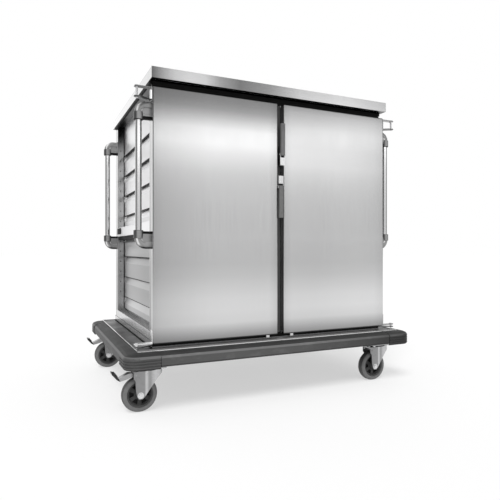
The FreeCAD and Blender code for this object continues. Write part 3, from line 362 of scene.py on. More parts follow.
def ramp(tree, value, stops):
    """A grey ramp over a 0 to 1 value, from stops of (place, brightness)."""
    node = tree.nodes.new("ShaderNodeValToRGB")
    elements = node.color_ramp.elements
    while len(elements) > 1:
        elements.remove(elements[-1])
    for index, (place, grey) in enumerate(stops):
        element = elements[0] if index == 0 else elements.new(place)
        element.position = place
        element.color = (grey, grey, grey, 1)
    tree.links.new(value, node.inputs[0])
    return node.outputs[0]


def mix_colour(tree, factor, first, second):
    """First colour at a factor of 0, second at 1."""
    node = tree.nodes.new("ShaderNodeMix")
    node.data_type = "RGBA"
    tree.links.new(factor, node.inputs[0])
    for socket, value in ((node.inputs[6], first), (node.inputs[7], second)):
        if isinstance(value, tuple):
            socket.default_value = value
        else:
            tree.links.new(value, socket)
    return node.outputs[2]


def noise(tree, stretch, detail):
    """Noise in the part's own coordinates, with so many cycles per metre along each axis."""
    coordinate = tree.nodes.new("ShaderNodeTexCoord")
    mapping = tree.nodes.new("ShaderNodeMapping")
    mapping.inputs["Scale"].default_value = stretch
    texture = tree.nodes.new("ShaderNodeTexNoise")
    texture.inputs["Scale"].default_value = 1.0
    texture.inputs["Detail"].default_value = detail
    tree.links.new(coordinate.outputs["Object"], mapping.inputs[0])
    tree.links.new(mapping.outputs[0], texture.inputs[0])
    return texture.outputs["Fac"]


def spread(tree, value, low, high, source=(0.3, 0.7)):
    """Maps a value from the source range onto the range from low to high."""
    node = tree.nodes.new("ShaderNodeMapRange")
    node.inputs["From Min"].default_value = source[0]
    node.inputs["From Max"].default_value = source[1]
    node.inputs["To Min"].default_value = low
    node.inputs["To Max"].default_value = high
    tree.links.new(value, node.inputs["Value"])
    return node.outputs[0]


def math_node(tree, operation, a, b):
    """One arithmetic step on two values or sockets."""
    node = tree.nodes.new("ShaderNodeMath")
    node.operation = operation
    for socket, value in zip(node.inputs, (a, b)):
        if isinstance(value, (int, float)):
            socket.default_value = value
        else:
            tree.links.new(value, socket)
    return node.outputs[0]


def shade(tree, value, axis, stops, facing=None):
    """Paints light and shade into a value along the part's own box.

    facing is (axis, sign) and limits that to the faces looking that way; a sign of 0 takes both ways.
    """
    coordinate = tree.nodes.new("ShaderNodeTexCoord")
    split = tree.nodes.new("ShaderNodeSeparateXYZ")
    tree.links.new(coordinate.outputs["Generated"], split.inputs[0])
    share = ramp(tree, split.outputs[axis], stops)
    if facing:
        turned = tree.nodes.new("ShaderNodeSeparateXYZ")
        tree.links.new(coordinate.outputs["Normal"], turned.inputs[0])
        toward, sign = turned.outputs[facing[0]], facing[1]
        if sign == 0:
            toward = math_node(tree, "ABSOLUTE", toward, 0.0)
        else:
            toward = math_node(tree, "MULTIPLY", toward, sign)
        mask = spread(tree, toward, 0.0, 1.0, (0.6, 0.9))
        share = mix_colour(tree, mask, (1.0, 1.0, 1.0, 1.0), share)
    return math_node(tree, "MULTIPLY", value, share)


def by_facing(tree, axis, stops):
    """Painted light and shade: a tone by where a face looks.

    Z: 0 straight down, 0.5 upright, 1 straight up. X or Y: 0 across that axis, 1 along it.
    """
    coordinate = tree.nodes.new("ShaderNodeTexCoord")
    split = tree.nodes.new("ShaderNodeSeparateXYZ")
    tree.links.new(coordinate.outputs["Normal"], split.inputs[0])
    if axis == "Z":
        return ramp(tree, spread(tree, split.outputs["Z"], 0.0, 1.0, (-1.0, 1.0)), stops)
    return ramp(tree, math_node(tree, "ABSOLUTE", split.outputs[axis], 0.0), stops)


def toned(tree, grey, shades, facets):
    """A grey value after its painted light and shade along the box and by facing."""
    for shading in shades:
        grey = shade(tree, grey, *shading)
    for axis, stops in facets:
        grey = math_node(tree, "MULTIPLY", grey, by_facing(tree, axis, stops))
    return grey


def grey_colour(tree, value, tint=(1.0, 1.0, 1.0)):
    """A grey value as a colour, slightly tinted."""
    node = tree.nodes.new("ShaderNodeCombineColor")
    for socket, share in zip(node.inputs, tint):
        tree.links.new(math_node(tree, "MULTIPLY", value, share), socket)
    return node.outputs[0]


def add_bump(tree, shader, height, strength, distance):
    """Relief from a height value."""
    bump = tree.nodes.new("ShaderNodeBump")
    bump.inputs["Strength"].default_value = strength
    bump.inputs["Distance"].default_value = distance
    tree.links.new(height, bump.inputs["Height"])
    tree.links.new(bump.outputs[0], shader.inputs["Normal"])


# ---- kinds of finish ---------------------------------------------------------------------------

# Cycles per metre of each texture along the part's axes; brushed lines run along the axis they are named for.
BRUSHED = {"x": (5, 420, 420), "y": (420, 5, 420), "z": (420, 420, 5)}
STEEL_CLOUDS, STEEL_RUBS = (2.6, 2.6, 2.2), (14, 14, 9)
ZINC_MOTTLE, ZINC_SPANGLE = (60, 60, 60), (700, 700, 700)
PLASTIC_SKIN, PLASTIC_WEAR = (1100, 1100, 1100), (16, 16, 38)
COAT_SKIN, COAT_RUBS = (500, 500, 500), (5, 11, 11)
TYRE_SKIN, TYRE_DUST = (900, 900, 900), (60, 60, 60)
# How far a texture moves the tone and the roughness either way.
STEEL_TONE_SWING, STEEL_ROUGH_SWING = 0.015, 0.02
ZINC_TONE_SWING, ZINC_ROUGH_SWING = 0.02, 0.03
PLASTIC_TONE_SHARE, COAT_TONE_SHARE = 0.06, 0.07
COAT_RUB_TONE = 0.012
TREAD_SHARE = 0.42  # tone of the tread over the tone of the tyre's side
STEEL_TINT, ZINC_TINT = (1.0, 1.0, 1.005), (1, 1, 1.01)


def brushed_steel(name, tone, rough, grain, cloud=0.012, marks=0.015, shades=(), facets=()):
    """Brushed stainless steel: lines along the grain, faint cloudy handling marks, fine scratches; shades and
    facets paint light and shade into its tone.
    """
    shader, tree = new_material(name)
    shader.inputs["Metallic"].default_value = 1.0
    lines = noise(tree, BRUSHED[grain], 4.0)
    clouds = noise(tree, STEEL_CLOUDS, 2.0)
    rubs = noise(tree, STEEL_RUBS, 5.0)
    lined = spread(tree, lines, tone - STEEL_TONE_SWING, tone + STEEL_TONE_SWING)
    grey = math_node(tree, "ADD", lined, spread(tree, clouds, -cloud, cloud))
    grey = toned(tree, grey, shades, facets)
    tree.links.new(grey_colour(tree, grey, STEEL_TINT), shader.inputs["Base Color"])
    lined = spread(tree, lines, rough - STEEL_ROUGH_SWING, rough + STEEL_ROUGH_SWING)
    roughness = math_node(tree, "ADD", lined, spread(tree, rubs, 0.0, marks, (0.35, 0.75)))
    tree.links.new(roughness, shader.inputs["Roughness"])
    add_bump(tree, shader, lines, 0.01, 0.0004)


def zinc(name, tone, rough, shades=()):
    """Zinc-plated pressed steel: soft spangle, slightly mottled; shades paint light and shade into its tone.
    """
    shader, tree = new_material(name)
    shader.inputs["Metallic"].default_value = 0.85
    mottle = noise(tree, ZINC_MOTTLE, 3.0)
    spangle = noise(tree, ZINC_SPANGLE, 2.0)
    grey = toned(tree, spread(tree, mottle, tone - ZINC_TONE_SWING, tone + ZINC_TONE_SWING), shades, ())
    tree.links.new(grey_colour(tree, grey, ZINC_TINT), shader.inputs["Base Color"])
    roughness = spread(tree, mottle, rough - ZINC_ROUGH_SWING, rough + ZINC_ROUGH_SWING)
    tree.links.new(roughness, shader.inputs["Roughness"])
    add_bump(tree, shader, spangle, 0.08, 0.0003)


def moulded(name, tone, rough, scuff=0.03, gloss=0.0, bump=0.08, shine=0.5, shades=(), facets=()):
    """Moulded plastic or rubber: fine grained skin, faint scuffs; shades and facets paint light and shade
    into its tone.
    """
    shader, tree = new_material(name)
    shader.inputs["Metallic"].default_value = gloss
    skin = noise(tree, PLASTIC_SKIN, 2.0)
    wear = noise(tree, PLASTIC_WEAR, 6.0)
    grained = spread(tree, skin, tone * (1 - PLASTIC_TONE_SHARE), tone * (1 + PLASTIC_TONE_SHARE))
    grey = math_node(tree, "ADD", grained, spread(tree, wear, 0.0, scuff, (0.52, 0.78)))
    grey = toned(tree, grey, shades, facets)
    tree.links.new(grey_colour(tree, grey), shader.inputs["Base Color"])
    tree.links.new(spread(tree, wear, rough - 0.04, rough + 0.05), shader.inputs["Roughness"])
    shader.inputs["Specular IOR Level"].default_value = shine
    add_bump(tree, shader, skin, bump, 0.0004)


def coated(name, tone, rough, shades=()):
    """Dark satin coat on steel: a smooth skin with faint rub marks; shades paint light and shade into its
    tone.
    """
    shader, tree = new_material(name)
    skin = noise(tree, COAT_SKIN, 2.0)
    rub = noise(tree, COAT_RUBS, 6.0)
    grained = spread(tree, skin, tone * (1 - COAT_TONE_SHARE), tone * (1 + COAT_TONE_SHARE))
    grey = math_node(tree, "ADD", grained, spread(tree, rub, 0.0, COAT_RUB_TONE, (0.5, 0.8)))
    grey = toned(tree, grey, shades, ())
    tree.links.new(grey_colour(tree, grey), shader.inputs["Base Color"])
    tree.links.new(spread(tree, rub, rough - 0.05, rough + 0.1), shader.inputs["Roughness"])
    shader.inputs["Specular IOR Level"].default_value = 0.2
    add_bump(tree, shader, skin, 0.15, 0.0003)


def tyre_rubber(name, tone):
    """Grey non-marking tyre: smooth side, darker and rougher tread."""
    shader, tree = new_material(name)
    coordinate = tree.nodes.new("ShaderNodeTexCoord")
    split = tree.nodes.new("ShaderNodeSeparateXYZ")
    tree.links.new(coordinate.outputs["Normal"], split.inputs[0])
    side = math_node(tree, "ABSOLUTE", split.outputs["Y"], 0.0)
    skin = noise(tree, TYRE_SKIN, 2.0)
    dust = noise(tree, TYRE_DUST, 5.0)
    base = spread(tree, side, tone * TREAD_SHARE, tone, (0.25, 0.9))
    grey = math_node(tree, "ADD", base, spread(tree, dust, -0.012, 0.02))
    tree.links.new(grey_colour(tree, grey), shader.inputs["Base Color"])
    tree.links.new(spread(tree, dust, 0.5, 0.72), shader.inputs["Roughness"])
    add_bump(tree, shader, skin, 0.3, 0.0004)


def make_materials():
    """Every finish by name, as (name, tone, roughness)."""
    # The brushed steel finishes differ in tone from part to part to paint light and shade: lighter on the
    # roof, side bars and left hinge arms, darker on the ceiling, posts, rear wall and right hinge arms.
    for side, across in DOOR_REFLECTION_ACROSS.items():
        brushed_steel(f"door_steel_{side}", 0.62, 0.17, "z", cloud=0.006, marks=0.01,
                      shades=[("Z", DOOR_REFLECTION_UPRIGHT[side]), ("X", across)])
    brushed_steel("door_steel", 0.62, 0.17, "z", cloud=0.006, marks=0.01)
    brushed_steel("body_steel", 0.62, 0.24, "z")
    brushed_steel("post_steel", 0.55, 0.24, "z",
                  shades=[("Z", POST_TOP_SHADE, ("Y", -1)), ("Z", POST_SIDE_SHADE, ("X", 0))])
    brushed_steel("wall_steel", 0.68, 0.38, "y", marks=0.01, facets=[("Z", RUNNER_LIGHT_AND_SHADE)],
                  shades=[("Z", WALL_SHADE_UPRIGHT), ("Y", WALL_LIGHT_ALONG)])
    brushed_steel("bar_steel", 0.82, 0.36, "y", cloud=0.01, facets=[("Z", BAR_UNDERSIDE_SHADE)])
    brushed_steel("ceiling_steel", 0.5, 0.3, "x", facets=[("Z", CEILING_UNDERSIDE_SHADE)])
    brushed_steel("sill_steel", 0.6, 0.24, "y", cloud=0.01, shades=[("Y", SILL_SHADE_ALONG, ("Z", 1))])
    brushed_steel("roof_steel", 0.9, 0.18, "x", marks=0.02, shades=[
        ("X", ROOF_REFLECTION_ACROSS, ("Y", -1)), ("X", ROOF_BACK_SHADE, ("Y", 1)), ("Y", ROOF_SIDE_SHADE, ("X", 0)),
        ("Y", ROOF_UNDERSIDE_SHADE, ("Z", -1)),
    ])
    brushed_steel("rail_steel", 0.6, 0.2, "x")
    brushed_steel("rear_steel", 0.5, 0.2, "z", cloud=0.006, shades=[("Z", REAR_REFLECTION_UPRIGHT)])
    brushed_steel("rear_ribs_steel", 0.48, 0.2, "z", cloud=0.006)
    brushed_steel("steel_polished", 0.7, 0.15, "z", marks=0.005)
    brushed_steel("steel_fittings", 0.66, 0.2, "z")
    brushed_steel("hinge_steel", 0.12, 0.22, "y")
    # A darker copy of the steel that paints shade on the right hinge arms; the foot strip uses it too.
    brushed_steel("shaded_steel", 0.32, 0.24, "x")
    brushed_steel("arm_steel", 0.9, 0.2, "x",
                  shades=[("Z", ARM_UNDERSIDE_SHADE, ("Z", -1)), ("Z", ARM_FACE_SHADE, ("Y", 0))])
    coated("deck_coating", 0.016, 0.34, [("Y", DECK_FRONT_LIGHT)])
    zinc("zinc_plated", 0.36, 0.3)
    zinc("fork_zinc", 0.44, 0.3, [("X", FORK_REFLECTION_ACROSS, ("Y", 0))])
    zinc("bright_bolt", 0.7, 0.25)
    moulded("bumper_plastic", 0.085, 0.5, shine=0.12, bump=0.04, facets=[("Z", BUMPER_HIGHLIGHT_AND_SHADE)],
            shades=[("X", BUMPER_SHADE_ACROSS, ("Y", -1))])
    moulded("elbow_plastic", 0.24, 0.16, gloss=0.3, bump=0.03,
            facets=[("Z", ELBOW_LIGHT_AND_SHADE), ("X", ELBOW_OUTER_HIGHLIGHT)])
    moulded("collar_plastic", 0.13, 0.3, bump=0.03, facets=[("X", COLLAR_REFLECTION)])
    moulded("lever_plastic", 0.12, 0.4)
    moulded("black_plastic", 0.008, 0.4, scuff=0.01)
    moulded("black_rubber", 0.004, 0.6, scuff=0.006, shine=0.15)
    # Grey rubber that paints the shade in the gap between the doors.
    moulded("gap_shade_rubber", 0.055, 0.5, scuff=0.01)
    moulded("hub_plastic", 0.06, 0.45, scuff=0.008, shine=0.1, shades=[("Y", HUB_WINDOW_SHADE)])
    tyre_rubber("tyre_rubber", 0.13)


def dress_nodes():
    """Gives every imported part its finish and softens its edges."""
    for name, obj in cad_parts.items():
        chosen = next(finish for start, finish in NODE_MATERIALS if name.startswith(start))
        obj.data.materials.clear()
        obj.data.materials.append(MATERIALS[chosen])
        weld = obj.modifiers.new("Weld", "WELD")
        weld.merge_threshold = WELD_GAP
        round_edges(obj, BEVELS.get(name, USUAL_BEVEL) * MM, NODE_BEVEL_ANGLE)
        if any(polygon.use_smooth for polygon in obj.data.polygons):
            flatten_shading(obj)


# ---- building blocks of the added pieces --------------------------------------------------------

def round_edges(obj, width, angle):
    """Small rounding on every edge sharper than an angle in degrees."""
    bevel = obj.modifiers.new("Bevel", "BEVEL")
    bevel.width = width
    bevel.segments = 2
    bevel.limit_method = "ANGLE"
    bevel.angle_limit = math.radians(angle)


def flatten_shading(piece):
    """Keeps the large faces flat beside their rounded edges."""
    normals = piece.modifiers.new("Normals", "WEIGHTED_NORMAL")
    normals.mode = "FACE_AREA"
    normals.weight = 100
    normals.keep_sharp = True


def add_piece(name, shape, finish, body, bevel=0.0, smooth=False):
    """Turns a bmesh into a piece with its finish, riding on a body."""
    mesh = bpy.data.meshes.new(name)
    bmesh.ops.recalc_face_normals(shape, faces=shape.faces)
    shape.to_mesh(mesh)
    shape.free()
    for polygon in mesh.polygons:
        polygon.use_smooth = smooth
    mesh.materials.append(MATERIALS[finish])
    piece = bpy.data.objects.new(name, mesh)
    SCENE.collection.objects.link(piece)
    if bevel:
        round_edges(piece, bevel, PIECE_BEVEL_ANGLE)
    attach(piece, body)
    return piece


def add_block(shape, low, high):
    """A block between two corners."""
    low, high = Vector(low), Vector(high)
    made = bmesh.ops.create_cube(shape, size=1.0)["verts"]
    middle, size = (low + high) / 2, high - low
    for vertex in made:
        vertex.co = Vector((vertex.co[i] * size[i] for i in range(3))) + middle


def add_lathe(shape, outline, centre, axis, out=1, steps=48):
    """A turned ring on a face at its centre; out is the face's side along the axis, 1 or -1."""
    rings = []
    for step in range(steps):
        turn = 2 * math.pi * step / steps
        ring = []
        for height, width in outline:
            along, radius = height * MM * out, width * MM
            a, b = radius * math.cos(turn), radius * math.sin(turn)
            offset = {"x": (along, a, b), "y": (a, along, b), "z": (a, b, along)}[axis]
            ring.append(shape.verts.new(Vector(centre) + Vector(offset)))
        rings.append(ring)
    count = len(outline)
    for step, ring in enumerate(rings):
        after = rings[(step + 1) % steps]
        for index in range(count):
            other = (index + 1) % count
            shape.faces.new((ring[index], after[index], after[other], ring[other]))


def span(sign, inner, outer):
    """The low and the high end of a stretch on one side of the middle."""
    return sorted((sign * inner, sign * outer))


def spaced(start, stop, count):
    """Evenly spaced places, both ends included."""
    return [start + (stop - start) * index / (count - 1) for index in range(count)]


def wall_face(side):
    """How far a side wall's outer face is from the middle."""
    low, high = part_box(f"side_wall_{side}")
    return max(-low.x, high.x)


def tier_heights():
    """Height of the ledge in each tray tier."""
    return [TIER_LOWEST + TIER_PITCH * tier for tier in range(TIER_COUNT)]


# ---- pieces ------------------------------------------------------------------------------------

def make_door_skins():
    """Door skins with softly folded edges, in place of the plain folded boxes."""
    for side in SIDES:
        low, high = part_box(f"door_skin_{side}")
        shape = bmesh.new()
        add_block(shape, low, high)
        shape.normal_update()
        back = [face for face in shape.faces if face.calc_center_median().y > high.y - SHEET]
        bmesh.ops.delete(shape, geom=back, context="FACES_ONLY")
        folds = [edge for edge in shape.edges if not edge.is_boundary]
        bmesh.ops.bevel(
            shape, geom=folds, offset=FOLD_RADIUS, segments=5, profile=0.5, affect="EDGES", clamp_overlap=True
        )
        piece = add_piece(
            f"folded_door_{side}", shape, f"door_steel_{side}", f"door_{side}", smooth=True
        )
        wall = piece.modifiers.new("Sheet", "SOLIDIFY")
        wall.thickness = SHEET
        wall.offset = -1
        flatten_shading(piece)
        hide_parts(f"door_skin_{side}")


def make_roof_shade_gaskets():
    """Black rubber under the roof that paints the shade there: a ribbed profile over the doors and a plain
    one along each side.
    """
    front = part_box("front_rails")[0].y
    post_low, post_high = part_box("corner_posts")
    left, right = post_low.x + 2 * MM, post_high.x - 2 * MM
    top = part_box("roof_panel")[0].z - 0.4 * MM
    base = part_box("door_skin_right")[1].z + 1.5 * MM
    face = front - SHADE_GASKET_LIP
    shape = bmesh.new()
    add_block(shape, (left, face, base), (right, front, top))
    for share in SHADE_GASKET_RIBS:
        rib = base + (top - base) * share
        add_block(shape, (left, face - SHADE_GASKET_RIB, rib), (right, face, rib + SHADE_GASKET_RIB))
    add_piece("roof_shade_gasket_front", shape, "black_rubber", "trolley", bevel=0.8 * MM)

    shape = bmesh.new()
    for sign in SIDES.values():
        near, far = span(sign, post_high.x, post_high.x + SHADE_GASKET_SIDE)
        add_block(shape, (near, post_low.y + 2 * MM, top - SHADE_GASKET_DROP), (far, post_high.y, top))
    add_piece("roof_shade_gasket_sides", shape, "black_rubber", "trolley", bevel=0.8 * MM)


def make_centre_shade_gasket():
    """Dark rubber profile in the gap between the doors, painting the shade in the gap."""
    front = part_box("front_rails")[0].y
    low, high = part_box("door_skin_right")
    shape = bmesh.new()
    add_block(shape, (-low.x, front - CENTRE_PROUD, low.z + 10 * MM), (low.x, front, high.z - 1 * MM))
    add_piece("centre_shade_gasket", shape, "gap_shade_rubber", "trolley", bevel=0.8 * MM)


def make_foot_pieces():
    """At the cabinet's foot: a black profile that paints the shadow under the doors and in the corners at the
    foot, a grey strip before it, and caps in the hollow bars' ends.
    """
    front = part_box("front_rails")[0].y
    low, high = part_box("base_frame")
    shape = bmesh.new()
    # The black profile paints the shadow under the doors, at the foot of the sides and at the rear foot; the
    # upper side beads are dark joint lines where the base frame meets the sills.
    add_block(shape, (low.x, front - 3 * MM, low.z + 0.5 * MM), (high.x, front, high.z - 2 * MM))
    shade_and_joint_beads = ((low.z, low.z + 5 * MM, 2 * MM), (high.z - 1 * MM, high.z + 1 * MM, 0.4 * MM))
    for sign in SIDES.values():
        for bottom, top, proud in shade_and_joint_beads:
            near, far = span(sign, high.x, high.x + proud)
            add_block(shape, (near, low.y, bottom), (far, high.y, top))
    add_block(shape, (low.x, high.y, low.z), (high.x, high.y + 2 * MM, low.z + 5 * MM))
    add_piece("base_shade_and_joint_strips", shape, "black_rubber", "trolley", bevel=0.3 * MM)

    shape = bmesh.new()
    add_block(shape, (low.x, front - 5 * MM, low.z), (high.x, front - 3.2 * MM, low.z + 8 * MM))
    add_piece("foot_strip", shape, "shaded_steel", "trolley", bevel=0.4 * MM)

    shape = bmesh.new()
    for sign in SIDES.values():
        near, far = span(sign, high.x - BASE_BAR, high.x)
        add_block(shape, (near, high.y, low.z + 5 * MM), (far, high.y + 1 * MM, high.z - 0.5 * MM))
    add_piece("base_end_caps", shape, "body_steel", "trolley")

    low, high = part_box("side_sills")
    front, top = low.y + HAIR, low.z + FOOT - SHEET
    shape = bmesh.new()
    for sign in SIDES.values():
        near, far = span(sign, high.x - FOOT + SHEET, high.x - SHEET)
        add_block(shape, (near, front, low.z + SHEET), (far, front + SHEET, top))
    add_piece("sill_foot_caps", shape, "body_steel", "trolley")


def make_wall_details():
    """Strips, runner end plates and hook slits on the side walls, and holes in the rear posts.

    The black strips lie in the runner grooves, where they paint the shade under each ledge, and in the seams
    beside the posts.
    """
    post_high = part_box("corner_posts")[1]
    sill_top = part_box("side_sills")[1].z
    reach = post_high.y - POST_WIDTH
    for side, sign in SIDES.items():
        face, wall_top = wall_face(side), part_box(f"side_wall_{side}")[1].z
        strips, slits, plates = bmesh.new(), bmesh.new(), bmesh.new()
        for ledge in tier_heights():
            near, far = span(sign, face - SHADE_STRIP_DEPTH, face - 0.5 * MM)
            add_block(strips, (near, -reach + 1 * MM, ledge - SHADE_STRIP_BASE),
                      (far, reach - 1 * MM, ledge - SHADE_STRIP_TOP))
            near, far = span(sign, face - RUNNER_REACH + 0.5 * MM, face - HAIR)
            for end in ENDS.values():
                first, last = span(end, reach - 1.2 * MM, reach - 0.4 * MM)
                add_block(plates, (near, first, ledge - RUNNER_DROP), (far, last, ledge - SHADE_STRIP_BASE))
            near, far = span(sign, face, face + 0.4 * MM)
            for end in ENDS.values():
                place = end * (reach - SLIT_INSET)
                add_block(slits, (near, place - SLIT_WIDTH / 2, ledge + SLIT_BASE),
                          (far, place + SLIT_WIDTH / 2, ledge + SLIT_TOP))
        near, far = span(sign, face, face + SEAM_PROUD)
        for end in ENDS.values():
            first, last = span(end, reach - SEAM_WIDTH, reach)
            add_block(strips, (near, first, sill_top), (far, last, wall_top))
        add_piece(f"groove_shade_and_seam_strips_{side}", strips, "black_rubber", "trolley")
        # Black strips in place of the hook slits paint the dark inside the slits.
        add_piece(f"hook_slits_{side}", slits, "black_plastic", "trolley")
        add_piece(f"runner_ends_{side}", plates, "wall_steel", "trolley")

        # Black discs in place of the post holes paint the dark inside the holes.
        holes = bmesh.new()
        middle = sign * (post_high.x - HOLE_INSET)
        for ledge in tier_heights():
            for rise in HOLE_RISES:
                add_lathe(holes, POST_HOLE, (middle, reach, ledge + rise), "y", steps=16)
        add_piece(f"post_holes_{side}", holes, "black_plastic", "trolley")


def make_castor_details():
    """Black backs that paint the shade in the hub windows, axle washers and swivel seals; ridges on the brake
    toes.
    """
    for end in ENDS:
        for side in SIDES:
            make_wheel_and_fork_details(f"{end}_{side}")
        make_toe_ridges(end)


def make_wheel_and_fork_details(corner):
    """One castor's black window backs, painting the shade in its hub windows, its axle washers and swivel
    seal.
    """
    hub_low, hub_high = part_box(f"wheel_hub_{corner}")
    shape = bmesh.new()
    for out in (-1, 1):
        add_lathe(shape, WINDOW_SHADE_BACK, (hub_low + hub_high) / 2, "y", out)
    add_piece(f"window_shade_backs_{corner}", shape, "black_rubber", f"wheel_{corner}")

    body = f"castor_{corner}"
    fork_low, fork_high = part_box(f"castor_fork_{corner}")
    bolt_low, bolt_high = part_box(f"axle_bolt_{corner}")
    axle = (bolt_low + bolt_high) / 2
    shape = bmesh.new()
    for face, out in ((fork_low.y, -1), (fork_high.y, 1)):
        add_lathe(shape, AXLE_WASHER, (axle.x, face, axle.z), "y", out)
    add_piece(f"axle_washers_{corner}", shape, "bright_bolt", body)

    swivel = (fork_high.x - FORK_FRONT, (fork_low.y + fork_high.y) / 2, fork_high.z)
    shape = bmesh.new()
    add_lathe(shape, SWIVEL_SEAL, swivel, "z")
    add_piece(f"swivel_seal_{corner}", shape, "black_rubber", body)


def make_toe_ridges(end):
    """Four grip ridges up the slope of a brake's toe piece."""
    low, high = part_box(f"pedal_toe_{end}")
    width, height = high.x - low.x, high.z - low.z
    first = Vector((low.x + width * TOE_FIRST[0], 0, low.z + height * TOE_FIRST[1]))
    last = Vector((low.x + width * TOE_LAST[0], 0, low.z + height * TOE_LAST[1]))
    shape = bmesh.new()
    for share in spaced(0.0, 1.0, 4):
        spot = first.lerp(last, share)
        add_block(shape, (spot.x - 1.4 * MM, low.y + 3 * MM, spot.z - 1.4 * MM),
                  (spot.x + 2.2 * MM, high.y - 3 * MM, spot.z + 1.8 * MM))
    add_piece(f"toe_ridges_{end}", shape, "black_plastic", f"brake_{end}", bevel=0.6 * MM)


def make_latch_details():
    """Rivet heads on the latch pivots and grip ridges at the free end of each lever."""
    for side in SIDES:
        low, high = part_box(f"latch_housing_{side}")
        lever_low, lever_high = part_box(f"latch_lever_{side}")
        points_up = side == "right"
        pivot = lever_low.z + BARREL_RADIUS if points_up else lever_high.z - BARREL_RADIUS
        shape = bmesh.new()
        for face, out in ((low.x, -1), (high.x, 1)):
            add_lathe(shape, LATCH_RIVET, (face, LATCH_PIVOT_Y, pivot), "x", out, steps=20)
        add_piece(f"latch_rivets_{side}", shape, "bright_bolt", f"door_{side}")

        shape = bmesh.new()
        for inset in spaced(10 * MM, 35 * MM, 6):
            middle = lever_high.z - inset if points_up else lever_low.z + inset
            add_block(shape, (lever_low.x + 3 * MM, lever_low.y - 1.0 * MM, middle - 1.2 * MM),
                      (lever_high.x - 3 * MM, lever_low.y + 0.5 * MM, middle + 1.2 * MM))
        add_piece(f"lever_ridges_{side}", shape, "lever_plastic", f"latch_{side}",
                  bevel=0.5 * MM)


def make_rear_details():
    """Blind rivets round the rear wall and two pressed stiffening ribs across it."""
    low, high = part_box("rear_wall")
    inset = 18 * MM
    uprights, rows = (low.x + inset, high.x - inset), (low.z + inset, high.z - inset)
    spots = [(x, z) for x in uprights for z in spaced(low.z + 60 * MM, high.z - 60 * MM, 9)]
    spots += [(x, z) for z in rows for x in spaced(low.x + 90 * MM, high.x - 90 * MM, 8)]
    shape = bmesh.new()
    for x, z in spots:
        add_lathe(shape, REAR_RIVET, (x, high.y, z), "y", steps=16)
    add_piece("rear_rivets", shape, "bright_bolt", "trolley")

    shape = bmesh.new()
    for share in PRESSED_RIBS:
        middle = low.z + (high.z - low.z) * share
        add_block(shape, (low.x + 80 * MM, high.y - 1 * MM, middle - 12 * MM),
                  (high.x - 80 * MM, high.y + 3 * MM, middle + 12 * MM))
    add_piece("rear_ribs", shape, "rear_ribs_steel", "trolley", bevel=2.6 * MM)


def make_door_details():
    """A raised bead round the inside of each door, with screws along its uprights."""
    wide, proud = 12 * MM, 1.8 * MM
    for side in SIDES:
        low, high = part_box(f"door_panel_{side}")
        x_low, x_high, z_low, z_high = low.x + 70 * MM, high.x - 70 * MM, low.z + 90 * MM, high.z - 90 * MM
        strokes = (
            ((x_low, z_low), (x_high, z_low + wide)),
            ((x_low, z_high - wide), (x_high, z_high)),
            ((x_low, z_low + wide), (x_low + wide, z_high - wide)),
            ((x_high - wide, z_low + wide), (x_high, z_high - wide)),
        )
        shape = bmesh.new()
        for start, stop in strokes:
            add_block(shape, (start[0], high.y - 0.5 * MM, start[1]), (stop[0], high.y + proud, stop[1]))
        add_piece(f"door_bead_{side}", shape, "door_steel", f"door_{side}", bevel=1.2 * MM)

        shape = bmesh.new()
        for x in (low.x + 35 * MM, high.x - 35 * MM):
            for z in spaced(low.z + 60 * MM, high.z - 60 * MM, 5):
                add_lathe(shape, DOOR_SCREW, (x, high.y, z), "y", steps=16)
        add_piece(f"door_screws_{side}", shape, "bright_bolt", f"door_{side}")


def make_bumper_joints():
    """Dark joint lines where the corner mouldings meet the rails."""
    low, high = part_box("bumper_rails")
    z_low, z_high = low.z + 1 * MM, high.z - 16 * MM
    shape = bmesh.new()
    for side in SIDES.values():
        for end in ENDS.values():
            x, y = high.x - CORNER_REACH, high.y - CORNER_REACH
            for xs, ys in (
                (span(side, x - JOINT_WIDTH, x), span(end, high.y, high.y + JOINT_PROUD)),
                (span(side, high.x, high.x + JOINT_PROUD), span(end, y - JOINT_WIDTH, y)),
            ):
                add_block(shape, (xs[0], ys[0], z_low), (xs[1], ys[1], z_high))
    add_piece("bumper_joints", shape, "black_rubber", "trolley")


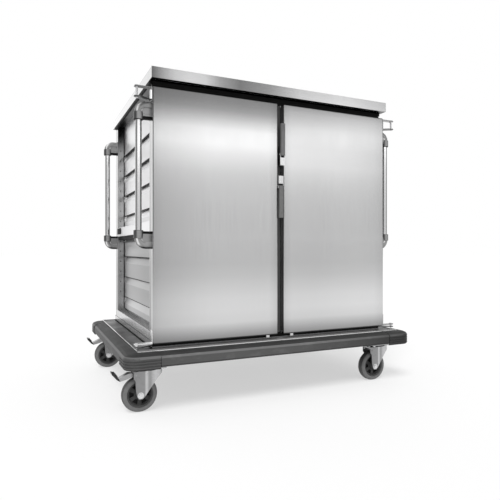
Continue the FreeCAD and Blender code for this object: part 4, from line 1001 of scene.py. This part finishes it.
def make_collar_rings():
    """Dark rings where the tubes enter the elbows."""
    low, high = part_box("handle_elbows")
    shape = bmesh.new()
    for sign in SIDES.values():
        for end in ENDS.values():
            for mouth, out in ((low.z + ELBOW_LENGTH, 1), (high.z - ELBOW_LENGTH, -1)):
                add_lathe(shape, COLLAR_RING, (sign * GRIP_X, end * GRIP_Y, mouth), "z", out, steps=32)
    add_piece("collar_rings", shape, "black_rubber", "trolley")


def make_elbow_shade_lips():
    """Dark collars where the hand rails meet their elbows, and black strips along the web edges that paint
    the shade there.
    """
    low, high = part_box("handle_elbows")
    post_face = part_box("corner_posts")[1].x
    bends = (
        (low.z + ELBOW_LENGTH, low.z + ELBOW_WEB, 1), (high.z - ELBOW_LENGTH, high.z - ELBOW_WEB, -1),
    )
    for side, sign in SIDES.items():
        collars, lips = bmesh.new(), bmesh.new()
        near, far = span(sign, post_face, GRIP_X - 17 * MM)
        for end in ENDS.values():
            middle = end * GRIP_Y
            for mouth, web, out in bends:
                add_lathe(collars, ELBOW_COLLAR, (sign * GRIP_X, middle, mouth), "z", out, steps=40)
                bottom, top = sorted((web + LIP_GAP * out, web + LIP_REACH * out))
                add_block(lips, (near, middle - LIP_HALF_WIDTH, bottom), (far, middle + LIP_HALF_WIDTH, top))
        piece = add_piece(
            f"elbow_collars_{side}", collars, "collar_plastic", "trolley", smooth=True
        )
        flatten_shading(piece)
        add_piece(f"elbow_shade_lips_{side}", lips, "black_rubber", "trolley", bevel=1 * MM)


def make_bar_shade_block():
    """Black rubber block between each side bar and the wall behind it, painting the shade under the bar."""
    low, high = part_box("side_bars")
    for side, sign in SIDES.items():
        near, far = span(sign, wall_face(side) - BAR_SHADE_DEPTH, high.x - 6 * MM)
        shape = bmesh.new()
        add_block(shape, (near, low.y + 2 * MM, low.z - BAR_SHADE_HEIGHT),
                  (far, high.y - 2 * MM, low.z - 0.5 * MM))
        add_piece(f"bar_shade_block_{side}", shape, "black_rubber", "trolley", bevel=1 * MM)


make_materials()
make_camera()
make_world()
make_lights()
make_floor()
dress_nodes()
make_door_skins()
make_roof_shade_gaskets()
make_centre_shade_gasket()
make_foot_pieces()
make_wall_details()
make_castor_details()
make_latch_details()
make_rear_details()
make_door_details()
make_bumper_joints()
make_collar_rings()
make_elbow_shade_lips()
make_bar_shade_block()

SCENE.view_settings.view_transform = "Standard"
SCENE.view_settings.look = "None"
